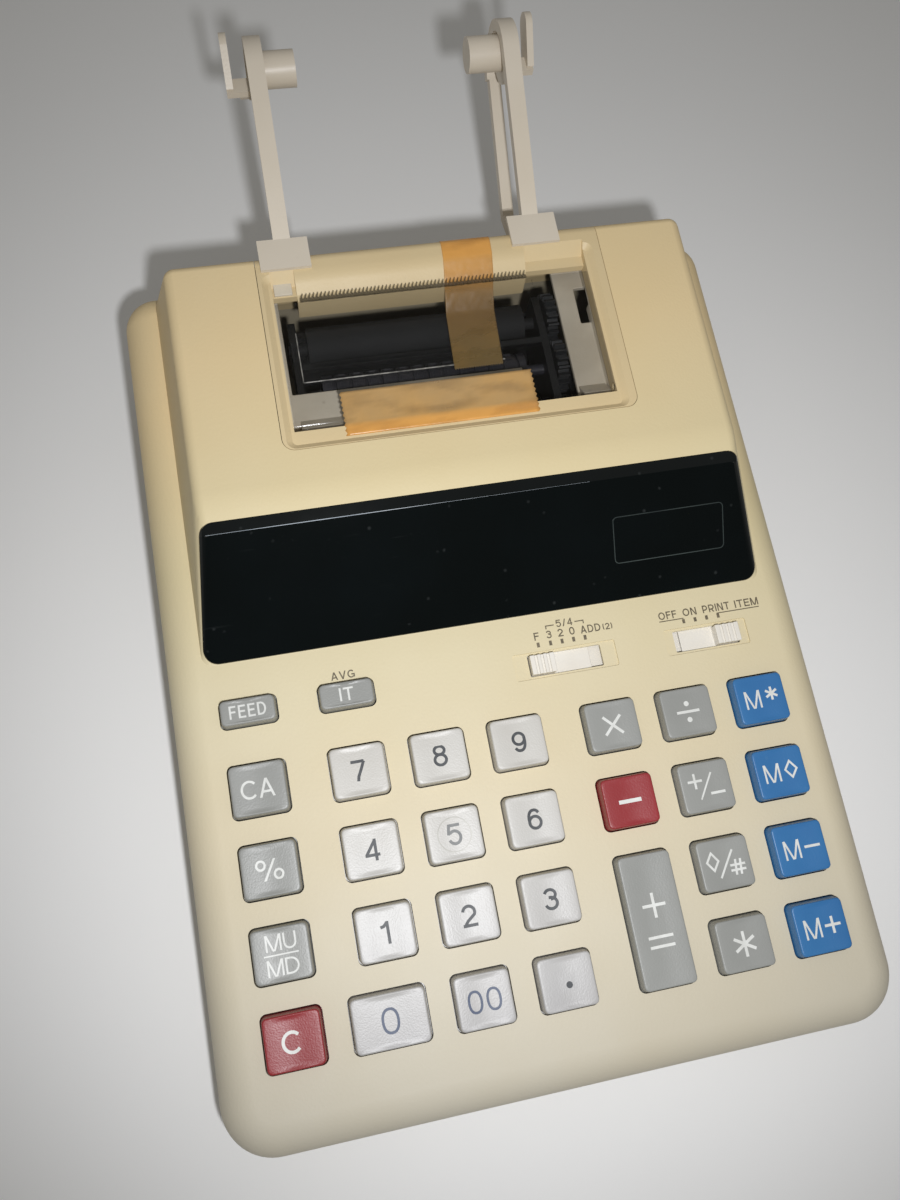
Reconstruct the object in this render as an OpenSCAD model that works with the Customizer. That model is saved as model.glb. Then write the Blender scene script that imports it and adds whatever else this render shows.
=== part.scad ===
// Desk calculator with a built-in roll-paper printer.
// Millimetres, +Z up, origin on the desk under the middle of the whole length,
// paper arms included.
// The keyboard panel slopes down to the front; modules inside tilted() are
// drawn in the panel's own frame: Z = 0 is the panel surface, +Y to the rear.

/* [Case] */
// Width of the case
body_w = 167; // [140:1:190]
// Length of the case along the panel
body_l = 220.6; // [180:0.1:260]
// Slope of the panel to the desk
slope = 6; // [0:0.5:12]
// Height of the panel surface over the desk, at mid length
panel_h = 35.2; // [25:0.1:45]
// Radius that rolls the panel over into the side walls
roll_r = 9; // [4:0.5:12]
// Plan radius of the front corners
front_r = 13; // [9:0.5:25]
// Depth of the parting line under the panel surface
part_z = 13; // [11:0.5:16]
// Thickness of the case walls
wall = 2.4; // [1.6:0.1:3.5]
// Height of the rubber feet
foot_h = 2.5; // [1:0.1:5]

/* [Printer housing] */
// Height of the housing's top over the panel
house_h = 19; // [10:0.5:30]
// Width of the housing at its base
house_base_w = 148.4; // [120:0.1:160]
// Width of the housing at its top
house_top_w = 139; // [110:0.1:155]
// Front foot of the display slope
house_front = 3.5; // [-5:0.5:15]
// Rear of the housing at its base
house_rear = 106.8; // [95:0.1:110]
// Slope of the display window to the panel
lens_tilt = 30; // [15:1:60]
// Radius that rolls the display slope into the top
house_roll = 20; // [8:1:30]
// Radius of the top side edges
house_edge = 3; // [1:0.5:5]

/* [Display] */
// Length of the lens along the display slope
lens_l = 35.5; // [20:0.5:45]
// Width of the lens at its foot
lens_foot_w = 145.8; // [100:0.1:150]
// Width of the lens at its top
lens_top_w = 138; // [100:0.1:145]
// Thickness of the lens
lens_t = 2; // [1:0.1:4]
// Corner radius of the lens
lens_r = 3.5; // [1:0.5:8]

/* [Keys] */
// Column pitch of the keys
pitch_x = 20; // [16:0.1:22]
// Row pitch of the keys
pitch_y = 19; // [15:0.1:22]
// Centre of the function key column at the left
left_x = -64.2; // [-75:0.1:-55]
// Centre of the first digit column
digit_x = -40; // [-50:0.1:-30]
// Centre of the first operator column
oper_x = 24.4; // [18:0.1:32]
// Centre line of the top full key row
row_y0 = -28.2; // [-40:0.1:-15]
// Centre line of the row of small keys
small_y = -9.2; // [-15:0.1:0]
// Width of a key well
well_w = 14.4; // [10:0.1:18]
// Depth of a key well
well_d = 13.3; // [10:0.1:18]
// Depth of a small key's well
small_d = 7.4; // [5:0.1:12]
// Width of the wide zero key's well
zero_w = 18.5; // [14:0.1:24]
// Corner radius of a key well
well_r = 1.7; // [0.5:0.1:4]
// Gap round a key in its well
key_gap = 0.3; // [0.2:0.05:0.8]
// Height of the key tops over the panel
key_h = 3; // [1:0.1:6]
// Travel of a key
key_travel = 2.5; // [1:0.1:4]
// Draft of a key's sides, per side
key_draft = 0.35; // [0:0.05:1]

/* [Slide switches] */
// Centre line of both switches
switch_y = -9.6; // [-15:0.1:0]
// Height of a switch slot
slot_d = 5.6; // [3:0.1:8]
// Left end of the decimal switch's slot
dec_x = 7; // [0:0.1:20]
// Length of the decimal switch's slot
dec_l = 19.6; // [10:0.1:30]
// Left end of the mode switch's slot
mode_x = 46.5; // [35:0.1:60]
// Length of the mode switch's slot
mode_l = 17.8; // [10:0.1:30]
// Length of a switch knob
knob_l = 6.4; // [4:0.1:10]
// Step between two positions of a switch
switch_step = 3.3; // [2:0.1:5]

/* [Printer cover] */
// Left edge of the printer cover
cover_x0 = -46; // [-60:0.1:-40]
// Right edge of the printer cover
cover_x1 = 45.2; // [40:0.1:60]
// Front edge of the printer cover
cover_front = 49.6; // [45:0.1:60]
// Rear edge of the printer cover
cover_rear = 104; // [95:0.1:110]
// Left edge of the window opening
win_x0 = -42.7; // [-50:0.1:-30]
// Right edge of the window opening
win_x1 = 40.8; // [30:0.1:50]
// Front edge of the window opening
win_front = 55; // [50:0.1:65]
// Left end of the tear edge
tear_x0 = -36.5; // [-42:0.1:-20]
// Right end of the tear edge
tear_x1 = 24.5; // [10:0.1:40]
// Pitch of the tear edge's teeth
tooth_pitch = 1; // [0.8:0.1:2]
// Thickness of the window
win_t = 1.6; // [1:0.1:3]

/* [Paper arms] */
// Centre of the left arm
arm_left_x = -38.2; // [-60:0.1:-20]
// Centre of the right arm
arm_right_x = 28; // [10:0.1:50]
// Width of an arm's upper bar
arm_w = 4.4; // [3:0.1:8]
// Width of an arm's lower bar
arm_low_w = 3.2; // [2:0.1:6]
// Thickness of an arm's bar
arm_t = 2.8; // [2:0.1:5]
// Rear centre of the arm's bend, along the panel
arm_y = 150; // [130:0.5:170]
// Height of the arm's bend over the panel
arm_z = 28.4; // [15:0.1:45]
// Outer radius of the arm's bend
arm_r = 9.4; // [6:0.1:14]
// Radius of the roll stub
stub_r = 4.5; // [3:0.1:8]
// Length of the roll stub
stub_l = 8; // [4:0.1:15]
// Width of the clip plate
clip_w = 13; // [8:0.1:20]

/* [Printer] */
// Module of the gear teeth
gear_m = 0.7; // [0.5:0.1:1.2]
// Teeth of the drum and platen gears
gear_n = 20; // [16:1:30]
// Teeth of the motor pinion
pinion_n = 10; // [8:1:14]
// Radius of the printer's shafts
shaft_r = 1.5; // [1:0.1:3]
// Running clearance of a shaft in its bore
run_gap = 0.06; // [0.02:0.01:0.1]

/* [Hidden] */
$fn = 48;
eps = 0.01;
seat = 0.05;            // flat pieces that rest on each other
fit = 0.15;             // loose pieces in their pockets
hw = body_w / 2;
hl = body_l / 2;
back = hl - 110.3;       // the printer and the battery box keep to the rear wall
mid_y = 23.685 + back / 2; // middle of the whole length
rise = back * tan(slope); // what the panel gains over the rear posts
post_r = 3.6;
cream = [0.86, 0.79, 0.63];
lower_grey = [0.62, 0.57, 0.48];
key_white = [0.86, 0.85, 0.83];
key_grey = [0.58, 0.58, 0.56];
key_red = [0.72, 0.16, 0.13];
key_blue = [0.18, 0.38, 0.62];
black = [0.05, 0.05, 0.05];
steel = [0.7, 0.7, 0.72];
smoke = [0.25, 0.24, 0.22, 0.6];
tape_orange = [0.86, 0.6, 0.28];

well_floor = -wall;               // underside of the panel
flange_t = 1;
flange_z = well_floor - 0.2 - flange_t;
mat_top = -9.2;
stem_z = mat_top + key_travel + 0.1;
board_top = -10;
board_t = 1.6;

cover_z = 13.6;                   // underside of the printer cover
win_top = house_h - 1.4;          // top face of the window
win_y = win_front + 0.3 + win_t;  // window hinge line
win_z = win_top - win_t;
tear_y = 91.2;                    // root line of the tear teeth
ridge_y = 97.5;                   // top of the tear carrier's slope
tray_z = 8.6;                     // underside of the printer tray
cover_w = cover_x1 - cover_x0;
cover_cx = (cover_x1 + cover_x0) / 2;

house_cy = house_front + (house_roll - (house_roll - house_h) * cos(lens_tilt))
  / sin(lens_tilt) + 0.05;
pivot_r = 1;

drum_y = 70.5;
drum_z = 3.4;
gear_d = gear_m * gear_n + 0.1;            // drum to platen
pinion_d = gear_m * (gear_n + pinion_n) / 2 + 0.1;
platen_y = drum_y + gear_d;
pinion_a = 245;                            // direction of the pinion from the drum
pinion_y = drum_y + pinion_d * cos(pinion_a);
pinion_z = drum_z + pinion_d * sin(pinion_a);
mech_x0 = -39;
mech_x1 = 27;
gear_x = mech_x1 + 2.6;
gear_t = 3;
ink_y = drum_y - 10.3;
leg_y = 68.7;
leg_z = -9.6;
leg_l = panel_h + (leg_y + back) * sin(slope) + leg_z * cos(slope) - foot_h - 2.2 - seat;

bay_x = 62;
bay_y0 = 8 + back;
inlet_x = 23.5 - hw;
foot_y = [22.3 - hl, hl - 26.3];
rear_y = 109.7 + back;            // rear wall over the desk
bay_l = 54;
bay_h = 17;
lid_travel = 6;
lid_tabs = [bay_y0 + 7, bay_y0 + 44];

// ---------- shared shapes ----------

module tilted() {
  translate([0, 0, panel_h])
    rotate([slope, 0, 0])
      children();
}

// back to the desk's frame from the panel's
module untilted() {
  rotate([-slope, 0, 0])
    translate([0, 0, -panel_h])
      children();
}

// the panel's frame, moved with the rear wall
module at_rear() {
  tilted()
    translate([0, back, 0])
      children();
}

// rounded rectangle, centred
module rr(w, d, r) {
  square([w - 2 * r, d], center = true);
  square([w, d - 2 * r], center = true);
  for (sx = [-1, 1], sy = [-1, 1])
    translate([sx * (w / 2 - r), sy * (d / 2 - r)])
      circle(r);
}

module plate(w, d, r, z0, z1) {
  translate([0, 0, z0])
    linear_extrude(z1 - z0)
      rr(w, d, r);
}

// a side profile given as (y, z) points, pushed along X from x0 to x1
module side(x0, x1) {
  translate([x0, 0, 0])
    rotate([90, 0, 90])
      linear_extrude(x1 - x0)
        children();
}

module bar_x(x0, x1, y, z, r) {
  translate([x0, y, z])
    rotate([0, 90, 0])
      cylinder(r = r, h = x1 - x0);
}

function col_x(c) = c == 0 ? left_x
  : c <= 3 ? digit_x + (c - 1) * pitch_x
  : oper_x + (c - 4) * pitch_x;
function row_y(r) = row_y0 - r * pitch_y;

// ---------- case ----------

// the slab that carries the keyboard, rolled over at its edges
module slab() {
  hull() {
    for (s = [-1, 1]) {
      translate([s * (hw - front_r), -hl + front_r, -roll_r])
        rotate_extrude($fn = 64)
          intersection() {
            translate([front_r - roll_r, 0])
              circle(roll_r, $fn = 56);
            translate([0, -roll_r])
              square([front_r, 2 * roll_r]);
          }
      translate([s * (hw - roll_r), hl - roll_r, -roll_r])
        sphere(roll_r, $fn = 56);
      translate([s * (hw - front_r), -hl + front_r, -part_z])
        cylinder(r = front_r, h = 0.5, $fn = 64);
      translate([s * (hw - roll_r), hl - roll_r, -part_z])
        cylinder(r = roll_r, h = 0.5, $fn = 56);
    }
  }
}

// the raised housing behind the keyboard
module house() {
  base_z = -1.5;
  intersection() {
    hull()
      for (s = [-1, 1]) {
        translate([s * (house_top_w / 2 - house_edge), house_cy, house_h - house_roll])
          rotate([0, 90, 0])
            rotate_extrude($fn = 120)
              translate([house_roll - house_edge, 0])
                circle(house_edge, $fn = 24);
        translate([s * (house_top_w / 2 - house_edge), cover_rear + back - house_edge,
            house_h - house_edge])
          sphere(house_edge, $fn = 24);
        for (y = [house_front + house_edge - 2.4, house_rear + back - house_edge])
          translate([s * (house_base_w / 2 - house_edge), y, base_z])
            cylinder(r = house_edge, h = 0.1, $fn = 24);
      }
    translate([-hw, -5, base_z])
      cube([body_w, 130, 40]);
  }
}

// the lens outline pushed through the display slope
module lens_prism(grow, depth) {
  translate([0, house_front, 0])
    rotate([lens_tilt, 0, 0])
      translate([0, 0, -depth])
        linear_extrude(depth + 6)
          hull()
            for (s = [-1, 1]) {
              translate([s * (lens_foot_w / 2 - lens_r), lens_r + 0.4])
                circle(lens_r + grow, $fn = 32);
              translate([s * (lens_top_w / 2 - lens_r), lens_l - lens_r])
                circle(lens_r + grow, $fn = 32);
            }
}

module key_wells() {
  for (r = [0:3]) {
    for (c = [0, 4, 5, 6])
      if (!(c == 4 && r > 1))
        translate([col_x(c), row_y(r), 0])
          plate(well_w, well_d, well_r, -wall - 1, 2);
    for (c = [1:3])
      if (!(c == 1 && r == 3))
        translate([col_x(c), row_y(r), 0])
          plate(well_w, well_d, well_r, -wall - 1, 2);
  }
  translate([col_x(1) - (zero_w - well_w) / 2, row_y(3), 0])
    plate(zero_w, well_d, well_r, -wall - 1, 2);
  translate([col_x(4), row_y(2.5), 0])
    plate(well_w, well_d + pitch_y, well_r, -wall - 1, 2);
  for (c = [0, 1])
    translate([col_x(c), small_y, 0])
      plate(well_w, small_d, well_r, -wall - 1, 2);
}

module switch_cuts() {
  for (s = [[dec_x, dec_l], [mode_x, mode_l]]) {
    // sunk surround, then the slot itself
    translate([s[0] + s[1] / 2, switch_y, 0])
      plate(s[1] + (s[0] < 30 ? 7.8 : 5), 6.9, 0.6, -0.5, 1);
    translate([s[0] + s[1] / 2, switch_y, 0])
      plate(s[1], slot_d, 0.4, -wall - 1, 1);
  }
  // gallery under the panel that the sliders run in
  translate([dec_x - 2, switch_y - 4, -wall - 0.5])
    cube([mode_x + mode_l - dec_x + 4, 8, wall + 0.5 - 1.25]);
}

module screw_posts(r, z0, front_top, rear_top) {
  for (s = [-1, 1]) {
    translate([s * (hw - 11.5), 11.8 - hl, z0])
      cylinder(r = r, h = front_top - z0);
    translate([s * (hw - 9.5), rear_y - 12.7, z0])
      cylinder(r = r, h = rear_top - z0);
  }
}

// room that the boards leave round the posts
module post_room() {
  screw_posts(post_r + 0.6, 0, panel_h, panel_h);
}

module upper_case() {
  color(cream)
    difference() {
      union() {
        tilted()
          difference() {
            union() {
              slab();
              house();
            }
            // hollow inside
            plate(2 * (hw - 5.5), 2 * (hl - 5.5), 7, -roll_r - 0.2, -wall);
            plate(2 * (hw - wall), 2 * (hl - wall), 8, -part_z - 1, -roll_r - 0.1);
            side(3 - house_top_w / 2, house_top_w / 2 - 3)
              polygon([[8, -wall - 0.1], [32, 11.2], [40, 16.4], [101.4 + back, 16.4],
                [104 + back, -wall - 0.1]]);
          }
        tilted() {
          // seat for the printer cover, with a ledge all round
          translate([cover_cx, (cover_front + cover_rear) / 2 - 2.5 + back, 0])
            plate(cover_w + 4, cover_rear - cover_front + 1, 4, 11.9, 17);
          // clips that hold the key board
          for (x = [-52, 14.4], y = [-94.3, -18.7])
            translate([x, y, board_top])
              cylinder(r = 1.8, h = -wall - board_top + 0.5);
        }
        screw_posts(post_r, 11, 23.4 - rise, 43.4 + rise);
      }
      tilted() {
        // below the parting line
        translate([-hw, -hl, -part_z - 40])
          cube([body_w, body_l, 40]);
        lens_prism(fit, lens_t + 0.1);
        // display opening behind the lens
        translate([0, house_front, 0])
          rotate([lens_tilt, 0, 0])
            translate([-56, 8, -9])
              cube([112, 19, 10]);
        translate([0, back, 0]) {
          // printer cover pocket and the opening under it
          translate([cover_x0 - fit, cover_front - fit + 3.2, cover_z - seat])
            cube([cover_w + 2 * fit, 60, 10]);
          translate([cover_cx, cover_front - fit + 10, 0])
            plate(cover_w + 2 * fit, 20, 3.2, cover_z - seat, 24);
          translate([win_x0 - 0.6, win_front - 1.6, 5])
            cube([win_x1 - win_x0 + 1.2, 47.6, 14]);
          // paper inlet in the rear wall
          translate([tear_x0 - 0.5, 99, 6])
            cube([tear_x1 - tear_x0 + 1, 12, 4.8]);
        }
        key_wells();
        switch_cuts();
      }
      screw_posts(1.3, 10, 20.4 - rise, 40 + rise);
    }
}

module lower_outline(g, z_extra) {
  hull() {
    tilted()
      for (s = [-1, 1]) {
        translate([s * (hw - front_r), -hl + front_r, -part_z - 0.5 + z_extra])
          cylinder(r = front_r - 0.6 - g, h = 0.5, $fn = 64);
        translate([s * (hw - roll_r), hl - roll_r, -part_z - 0.5 + z_extra])
          cylinder(r = roll_r - 0.6 - g, h = 0.5, $fn = 48);
      }
    for (s = [-1, 1]) {
      translate([s * (hw - front_r - 1.5), -hl + front_r + 3.5, foot_h + g])
        cylinder(r1 = front_r - 3 - g, r2 = front_r - 1.5 - g, h = 1.5, $fn = 64);
      translate([s * (hw - roll_r - 1.5), hl - roll_r - 1.5, foot_h + g])
        cylinder(r1 = roll_r - 3 - g, r2 = roll_r - 1.5 - g, h = 1.5, $fn = 48);
    }
  }
}

module lower_case() {
  bay_top = foot_h + bay_h;
  color(lower_grey)
    difference() {
      union() {
        difference() {
          lower_outline(0, 0);
          difference() {
            lower_outline(2.2, 2);
            // battery box walls
            translate([-bay_x / 2 - 1.8, bay_y0 - 1.8, 0])
              cube([bay_x + 3.6, bay_l + 3.6, bay_top + 1.8]);
            // thicker floor round the lid
            translate([-bay_x / 2 - 6, bay_y0 - 11, 0])
              cube([bay_x + 12, bay_l + 15.5, foot_h + 3.6]);
          }
        }
        intersection() {
          lower_outline(0.5, 0);
          screw_posts(3.6, foot_h + 0.5, 40, 40);
        }
        // mount pads for the inlet
        translate([inlet_x - 6, rear_y - 9.7, foot_h + 1])
          cube([12, 6.5, 7]);
      }
      // battery box
      translate([-bay_x / 2, bay_y0, foot_h - 1])
        cube([bay_x, bay_l, bay_h + 1]);
      // seat for the sliding cover
      translate([-bay_x / 2 - 3, bay_y0 - 9, foot_h - 1])
        cube([bay_x + 6, bay_l + 12, 1 + 1.9]);
      // grooves for the cover's tabs, with the notches they drop out of
      for (y = lid_tabs) {
        translate([-bay_x / 2 - 4.3, y - lid_travel - 0.3, foot_h + 0.8])
          cube([bay_x + 8.6, 5.6 + lid_travel + 0.5, 1.1]);
        translate([-bay_x / 2 - 4.3, y - lid_travel - 0.3, foot_h - 1])
          cube([bay_x + 8.6, 5.9, 2]);
      }
      screw_posts(1.6, 0, 40, 40);
      screw_posts(3.4, 0, foot_h + 2.2, foot_h + 2.2);
      // inlet hole in the rear wall
      translate([inlet_x, rear_y - 14.7, 14])
        rotate([-90, 0, 0])
          cylinder(r = 4.2, h = 30);
      // cooling slots under the printer
      for (i = [-4:4])
        translate([i * 8 - 1.25, rear_y - 37.7, foot_h - 1])
          cube([2.5, 16, 5]);
      // foot seats
      for (s = [-1, 1], y = foot_y)
        translate([s * (hw - 21.5), y, foot_h - 1])
          cylinder(r = 6.2, h = 1.6);
    }
}

module battery_cover() {
  color(lower_grey)
    difference() {
      union() {
        translate([-bay_x / 2 - 2.7, bay_y0 - 2.7, foot_h + 0.1])
          cube([bay_x + 5.4, bay_l + 5.4, 1.7]);
        for (y = lid_tabs)
          translate([-bay_x / 2 - 4.1, y, foot_h + 0.9])
            cube([bay_x + 8.2, 5.5, 0.9]);
        // latch tongue that reaches into the battery box
        translate([-6, bay_y0 + bay_l - 1.8, foot_h + 1.7])
          cube([12, 1.4, 2.4]);
      }
      // thumb ribs
      for (i = [0:4])
        translate([-9, bay_y0 + 4 + i * 2.2, foot_h - 0.3])
          cube([18, 1, 0.8]);
    }
}

module battery_contacts() {
  color(steel)
    for (i = [0:3])
      translate([-bay_x / 2 + 1.2 + i * 15.2, 0, 0]) {
        translate([1, bay_y0 + 0.1, foot_h + 4])
          cube([12, 0.5, 10]);
        translate([1, bay_y0 + bay_l - 0.6, foot_h + 5])
          cube([12, 0.5, 9]);
        translate([7, bay_y0 + 0.6, foot_h + 9])
          rotate([-90, 0, 0])
            cylinder(r1 = 4, r2 = 2.2, h = 3.4);
      }
}

module adaptor_inlet() {
  color(black)
    difference() {
      union() {
        translate([inlet_x - 5.5, rear_y - 15.7, foot_h + 8.2])
          cube([11, 10.4, 9]);
        translate([inlet_x, rear_y - 9.7, 14])
          rotate([-90, 0, 0])
            cylinder(r = 4, h = 7.6);
      }
      translate([inlet_x, rear_y - 12.7, 14])
        rotate([-90, 0, 0])
          difference() {
            cylinder(r = 2.9, h = 12);
            cylinder(r = 1, h = 9);
          }
    }
}

module feet() {
  color(black)
    for (s = [-1, 1], y = foot_y)
      translate([s * (hw - 21.5), y, 0]) {
        cylinder(r1 = 5.4, r2 = 5.9, h = foot_h);
        cylinder(r = 5.9, h = foot_h + 0.55);
      }
}

module case_screws() {
  color(steel)
    for (s = [-1, 1], p = [[hw - 11.5, 11.8 - hl, 19.6 - rise], [hw - 9.5, rear_y - 12.7, 39 + rise]])
      translate([s * p[0], p[1], foot_h + 0.4]) {
        difference() {
          cylinder(r = 3.1, h = 1.8);
          for (a = [0, 90])
            rotate([0, 0, a])
              translate([-1.8, -0.35, -0.1])
                cube([3.6, 0.7, 1]);
        }
        cylinder(r = 1.25, h = p[2] - foot_h - 0.4);
      }
}

// ---------- display ----------

module display_lens() {
  color(black)
    tilted()
      intersection() {
        house();
        lens_prism(0, lens_t);
      }
}

module display_module() {
  color([0.12, 0.2, 0.18])
    tilted()
      translate([0, house_front, 0])
        rotate([lens_tilt, 0, 0]) {
          translate([-54, 9, -7.6])
            cube([108, 17, 3.2]);
          translate([-60, 6, -9.4])
            cube([120, 23, 1.7]);
          for (i = [-9:9])
            translate([i * 5 - 0.4, 7, -8])
              cube([0.8, 2.4, 1.2]);
        }
}

// ---------- keyboard ----------

module key_solid(w, d) {
  bw = w - 2 * key_gap;
  bd = d - 2 * key_gap;
  r = well_r - key_gap;
  difference() {
    hull()
      for (sx = [-1, 1], sy = [-1, 1]) {
        translate([sx * (bw / 2 - r), sy * (bd / 2 - r), flange_z])
          cylinder(r = r, h = -flange_z, $fn = 16);
        translate([sx * (bw / 2 - r - key_draft), sy * (bd / 2 - r - key_draft), 0])
          cylinder(r = r, h = key_h - 0.6, $fn = 16);
        translate([sx * (bw / 2 - r - key_draft), sy * (bd / 2 - r - key_draft),
            key_h - 0.01])
          cylinder(r = r - 0.55, h = 0.01, $fn = 16);
      }
    // shallow finger dish
    translate([0, 0, key_h + 39.75])
      rotate([90, 0, 0])
        cylinder(r = 40, h = 2 * d, center = true, $fn = 180);
  }
  plate(w + 1.6, d + 1.4, 1, flange_z, flange_z + flange_t);
  translate([0, 0, stem_z])
    cylinder(r = 2, h = flange_z - stem_z + eps);
}

module key_at(x, y, w, d, tint) {
  color(tint)
    tilted()
      translate([x, y, 0])
        key_solid(w, d);
}

module key_in(c, r, tint) {
  key_at(col_x(c), row_y(r), well_w, well_d, tint);
}

module key_feed() { key_at(col_x(0), small_y, well_w, small_d, key_grey); }
module key_it() { key_at(col_x(1), small_y, well_w, small_d, key_grey); }
module key_ca() { key_in(0, 0, key_grey); }
module key_percent() { key_in(0, 1, key_grey); }
module key_mumd() { key_in(0, 2, key_grey); }
module key_c() { key_in(0, 3, key_red); }
module key_7() { key_in(1, 0, key_white); }
module key_8() { key_in(2, 0, key_white); }
module key_9() { key_in(3, 0, key_white); }
module key_4() { key_in(1, 1, key_white); }
module key_5() { key_in(2, 1, key_white); }
module key_6() { key_in(3, 1, key_white); }
module key_1() { key_in(1, 2, key_white); }
module key_2() { key_in(2, 2, key_white); }
module key_3() { key_in(3, 2, key_white); }
module key_0() {
  key_at(col_x(1) - (zero_w - well_w) / 2, row_y(3), zero_w, well_d, key_white);
}
module key_00() { key_in(2, 3, key_white); }
module key_point() { key_in(3, 3, key_white); }
module key_times() { key_in(4, 0, key_grey); }
module key_minus() { key_in(4, 1, key_red); }
module key_plus() {
  key_at(col_x(4), row_y(2.5), well_w, well_d + pitch_y, key_grey);
}
module key_divide() { key_in(5, 0, key_grey); }
module key_sign() { key_in(5, 1, key_grey); }
module key_subtotal() { key_in(5, 2, key_grey); }
module key_total() { key_in(5, 3, key_grey); }
module key_m_total() { key_in(6, 0, key_blue); }
module key_m_subtotal() { key_in(6, 1, key_blue); }
module key_m_minus() { key_in(6, 2, key_blue); }
module key_m_plus() { key_in(6, 3, key_blue); }

module collar() {
  difference() {
    cylinder(r = 3.9, h = 1.6);
    translate([0, 0, -1])
      cylinder(r = 2.7, h = 4);
  }
}

module key_mat() {
  color([0.35, 0.36, 0.38])
    tilted() {
      difference() {
        translate([0, (row_y(3) + small_y) / 2, 0])
          plate(body_w - 21, 92, 3, board_top + seat, mat_top);
        untilted()
          post_room();
        for (x = [-52, 14.4], y = [-94.3, -18.7])
          translate([x, y, -12])
            cylinder(r = 2.2, h = 5);
        translate([dec_x - 6, switch_y - 5, -12])
          cube([mode_x + mode_l - dec_x + 8, 14, 6]);
      }
      translate([0, 0, mat_top - eps]) {
        for (r = [0:3], c = [0:6])
          if (!(c == 4 && r > 1) && !(c == 1 && r == 3))
            translate([col_x(c), row_y(r), 0])
              collar();
        translate([col_x(1) - (zero_w - well_w) / 2, row_y(3), 0])
          collar();
        translate([col_x(4), row_y(2.5), 0])
          collar();
        for (c = [0, 1])
          translate([col_x(c), small_y, 0])
            collar();
      }
    }
}

module main_board() {
  color([0.1, 0.32, 0.18])
    tilted()
      difference() {
        union() {
          translate([0, (row_y(3) + small_y) / 2, 0])
            plate(body_w - 17, 95, 2, board_top - board_t, board_top);
          // processor under the board
          translate([-12, -60, board_top - board_t - 2])
            cube([24, 14, 2 + eps]);
        }
        untilted()
          post_room();
        for (x = [-52, 14.4], y = [-94.3, -18.7])
          translate([x, y, -14])
            cylinder(r = 0.9, h = 6);
      }
}

module switch_bodies() {
  color(black)
    tilted()
      for (s = [[dec_x, dec_l], [mode_x, mode_l]])
        translate([s[0], switch_y, 0])
          difference() {
            translate([-1, -3.2, board_top + seat])
              cube([s[1] + 2, 6.4, 4]);
            translate([1.2, -1.6, board_top + 1.2])
              cube([s[1] - 2.4, 3.2, 4]);
          }
}

// knob, shutter plate beside it and the stem down into the switch
module slider(x0, plate_x0, plate_x1) {
  color(key_white)
    tilted()
      difference() {
        union() {
          translate([x0, switch_y - slot_d / 2 + 0.3, -1.9])
            cube([knob_l, slot_d - 0.6, 3.5]);
          translate([min(x0, plate_x0), switch_y - 3.6, -2.1])
            cube([max(plate_x1, x0 + knob_l) - min(x0, plate_x0), 7.2, 0.7]);
          translate([x0 + knob_l / 2 - 1, switch_y - 1.3, -8.2])
            cube([2, 2.6, 6.4]);
        }
        // finger grooves
        for (i = [-1:1])
          translate([x0 + knob_l / 2 + i * 1.6 - 0.35, switch_y - 4, 1.1])
            cube([0.7, 8, 2]);
      }
}

module decimal_slider() {
  slider(dec_x + 0.3, dec_x + 1, dec_x + 16.6);
}

module mode_slider() {
  x0 = mode_x + mode_l - knob_l - 0.3;
  slider(x0, mode_x + 1.9, x0 + knob_l);
}

// ---------- printer cover ----------

module printer_cover() {
  color(cream)
    at_rear()
      difference() {
        union() {
          difference() {
            union() {
              translate([cover_cx, cover_front + 10, 0])
                plate(cover_w, 20, 3, cover_z, house_h);
              translate([cover_x0, cover_front + 6, cover_z])
                cube([cover_w, cover_rear - cover_front - 6, house_h - cover_z]);
            }
            // shallow tray with sloped sides
            hull() {
              translate([(win_x0 + win_x1) / 2, 0, 0]) {
                translate([0, 74, 0])
                  plate(win_x1 - win_x0 + 1.6, 45.6, 1.2, win_top + 0.2, win_top + 0.3);
                translate([0, 74, 0])
                  plate(win_x1 - win_x0 + 4.6, 48.4, 2.4, house_h, house_h + 0.1);
              }
            }
            // window opening
            translate([win_x0, win_front - 0.3, cover_z - 1])
              cube([win_x1 - win_x0, 38.4, 8]);
            // pockets beside the tear edge
            for (p = [[win_x0, tear_x0], [tear_x1, win_x1]])
              side(p[0], p[1])
                polygon([[99.2, house_h + 0.1], [96, 15.8], [90.6, 15.8],
                  [90.6, 21], [99.2, 21]]);
          }
          // carrier behind the tear edge and its wall down to the paper way
          side(tear_x0, tear_x1)
            polygon([[ridge_y + 3, house_h], [ridge_y, house_h], [93, 16.4],
              [91.6, 14.6], [91, 9], [92.8, 9], [94.2, 14], [ridge_y + 3, 14]]);
          // snap feet
          for (x = [-20, 18])
            translate([x - 4, cover_front + 3.9, 10.6])
              cube([8, 1.3, 3.4]);
        }
        // cut the tray's slope back in front of the ridge
        side(tear_x0, tear_x1)
          polygon([[ridge_y, house_h + 0.01], [93, 16.41], [91.6, 14.61],
            [91.2, 20], [ridge_y, 20]]);
        // rolled rear edge
        difference() {
          translate([cover_x0 - 1, cover_rear - house_edge, house_h - house_edge])
            cube([cover_w + 2, house_edge + 1, house_edge + 1]);
          bar_x(cover_x0 - 2, cover_x1 + 2, cover_rear - house_edge,
            house_h - house_edge, house_edge);
        }
        // window hinge bores
        bar_x(win_x0 - 1.6, win_x1 + 1.6, win_y, win_z, pivot_r + run_gap);
        // sockets for the paper arms
        for (x = [arm_left_x, arm_right_x])
          translate([x - 4.7, 97.8, 14.6])
            cube([9.4, 10, 2]);
      }
}

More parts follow.
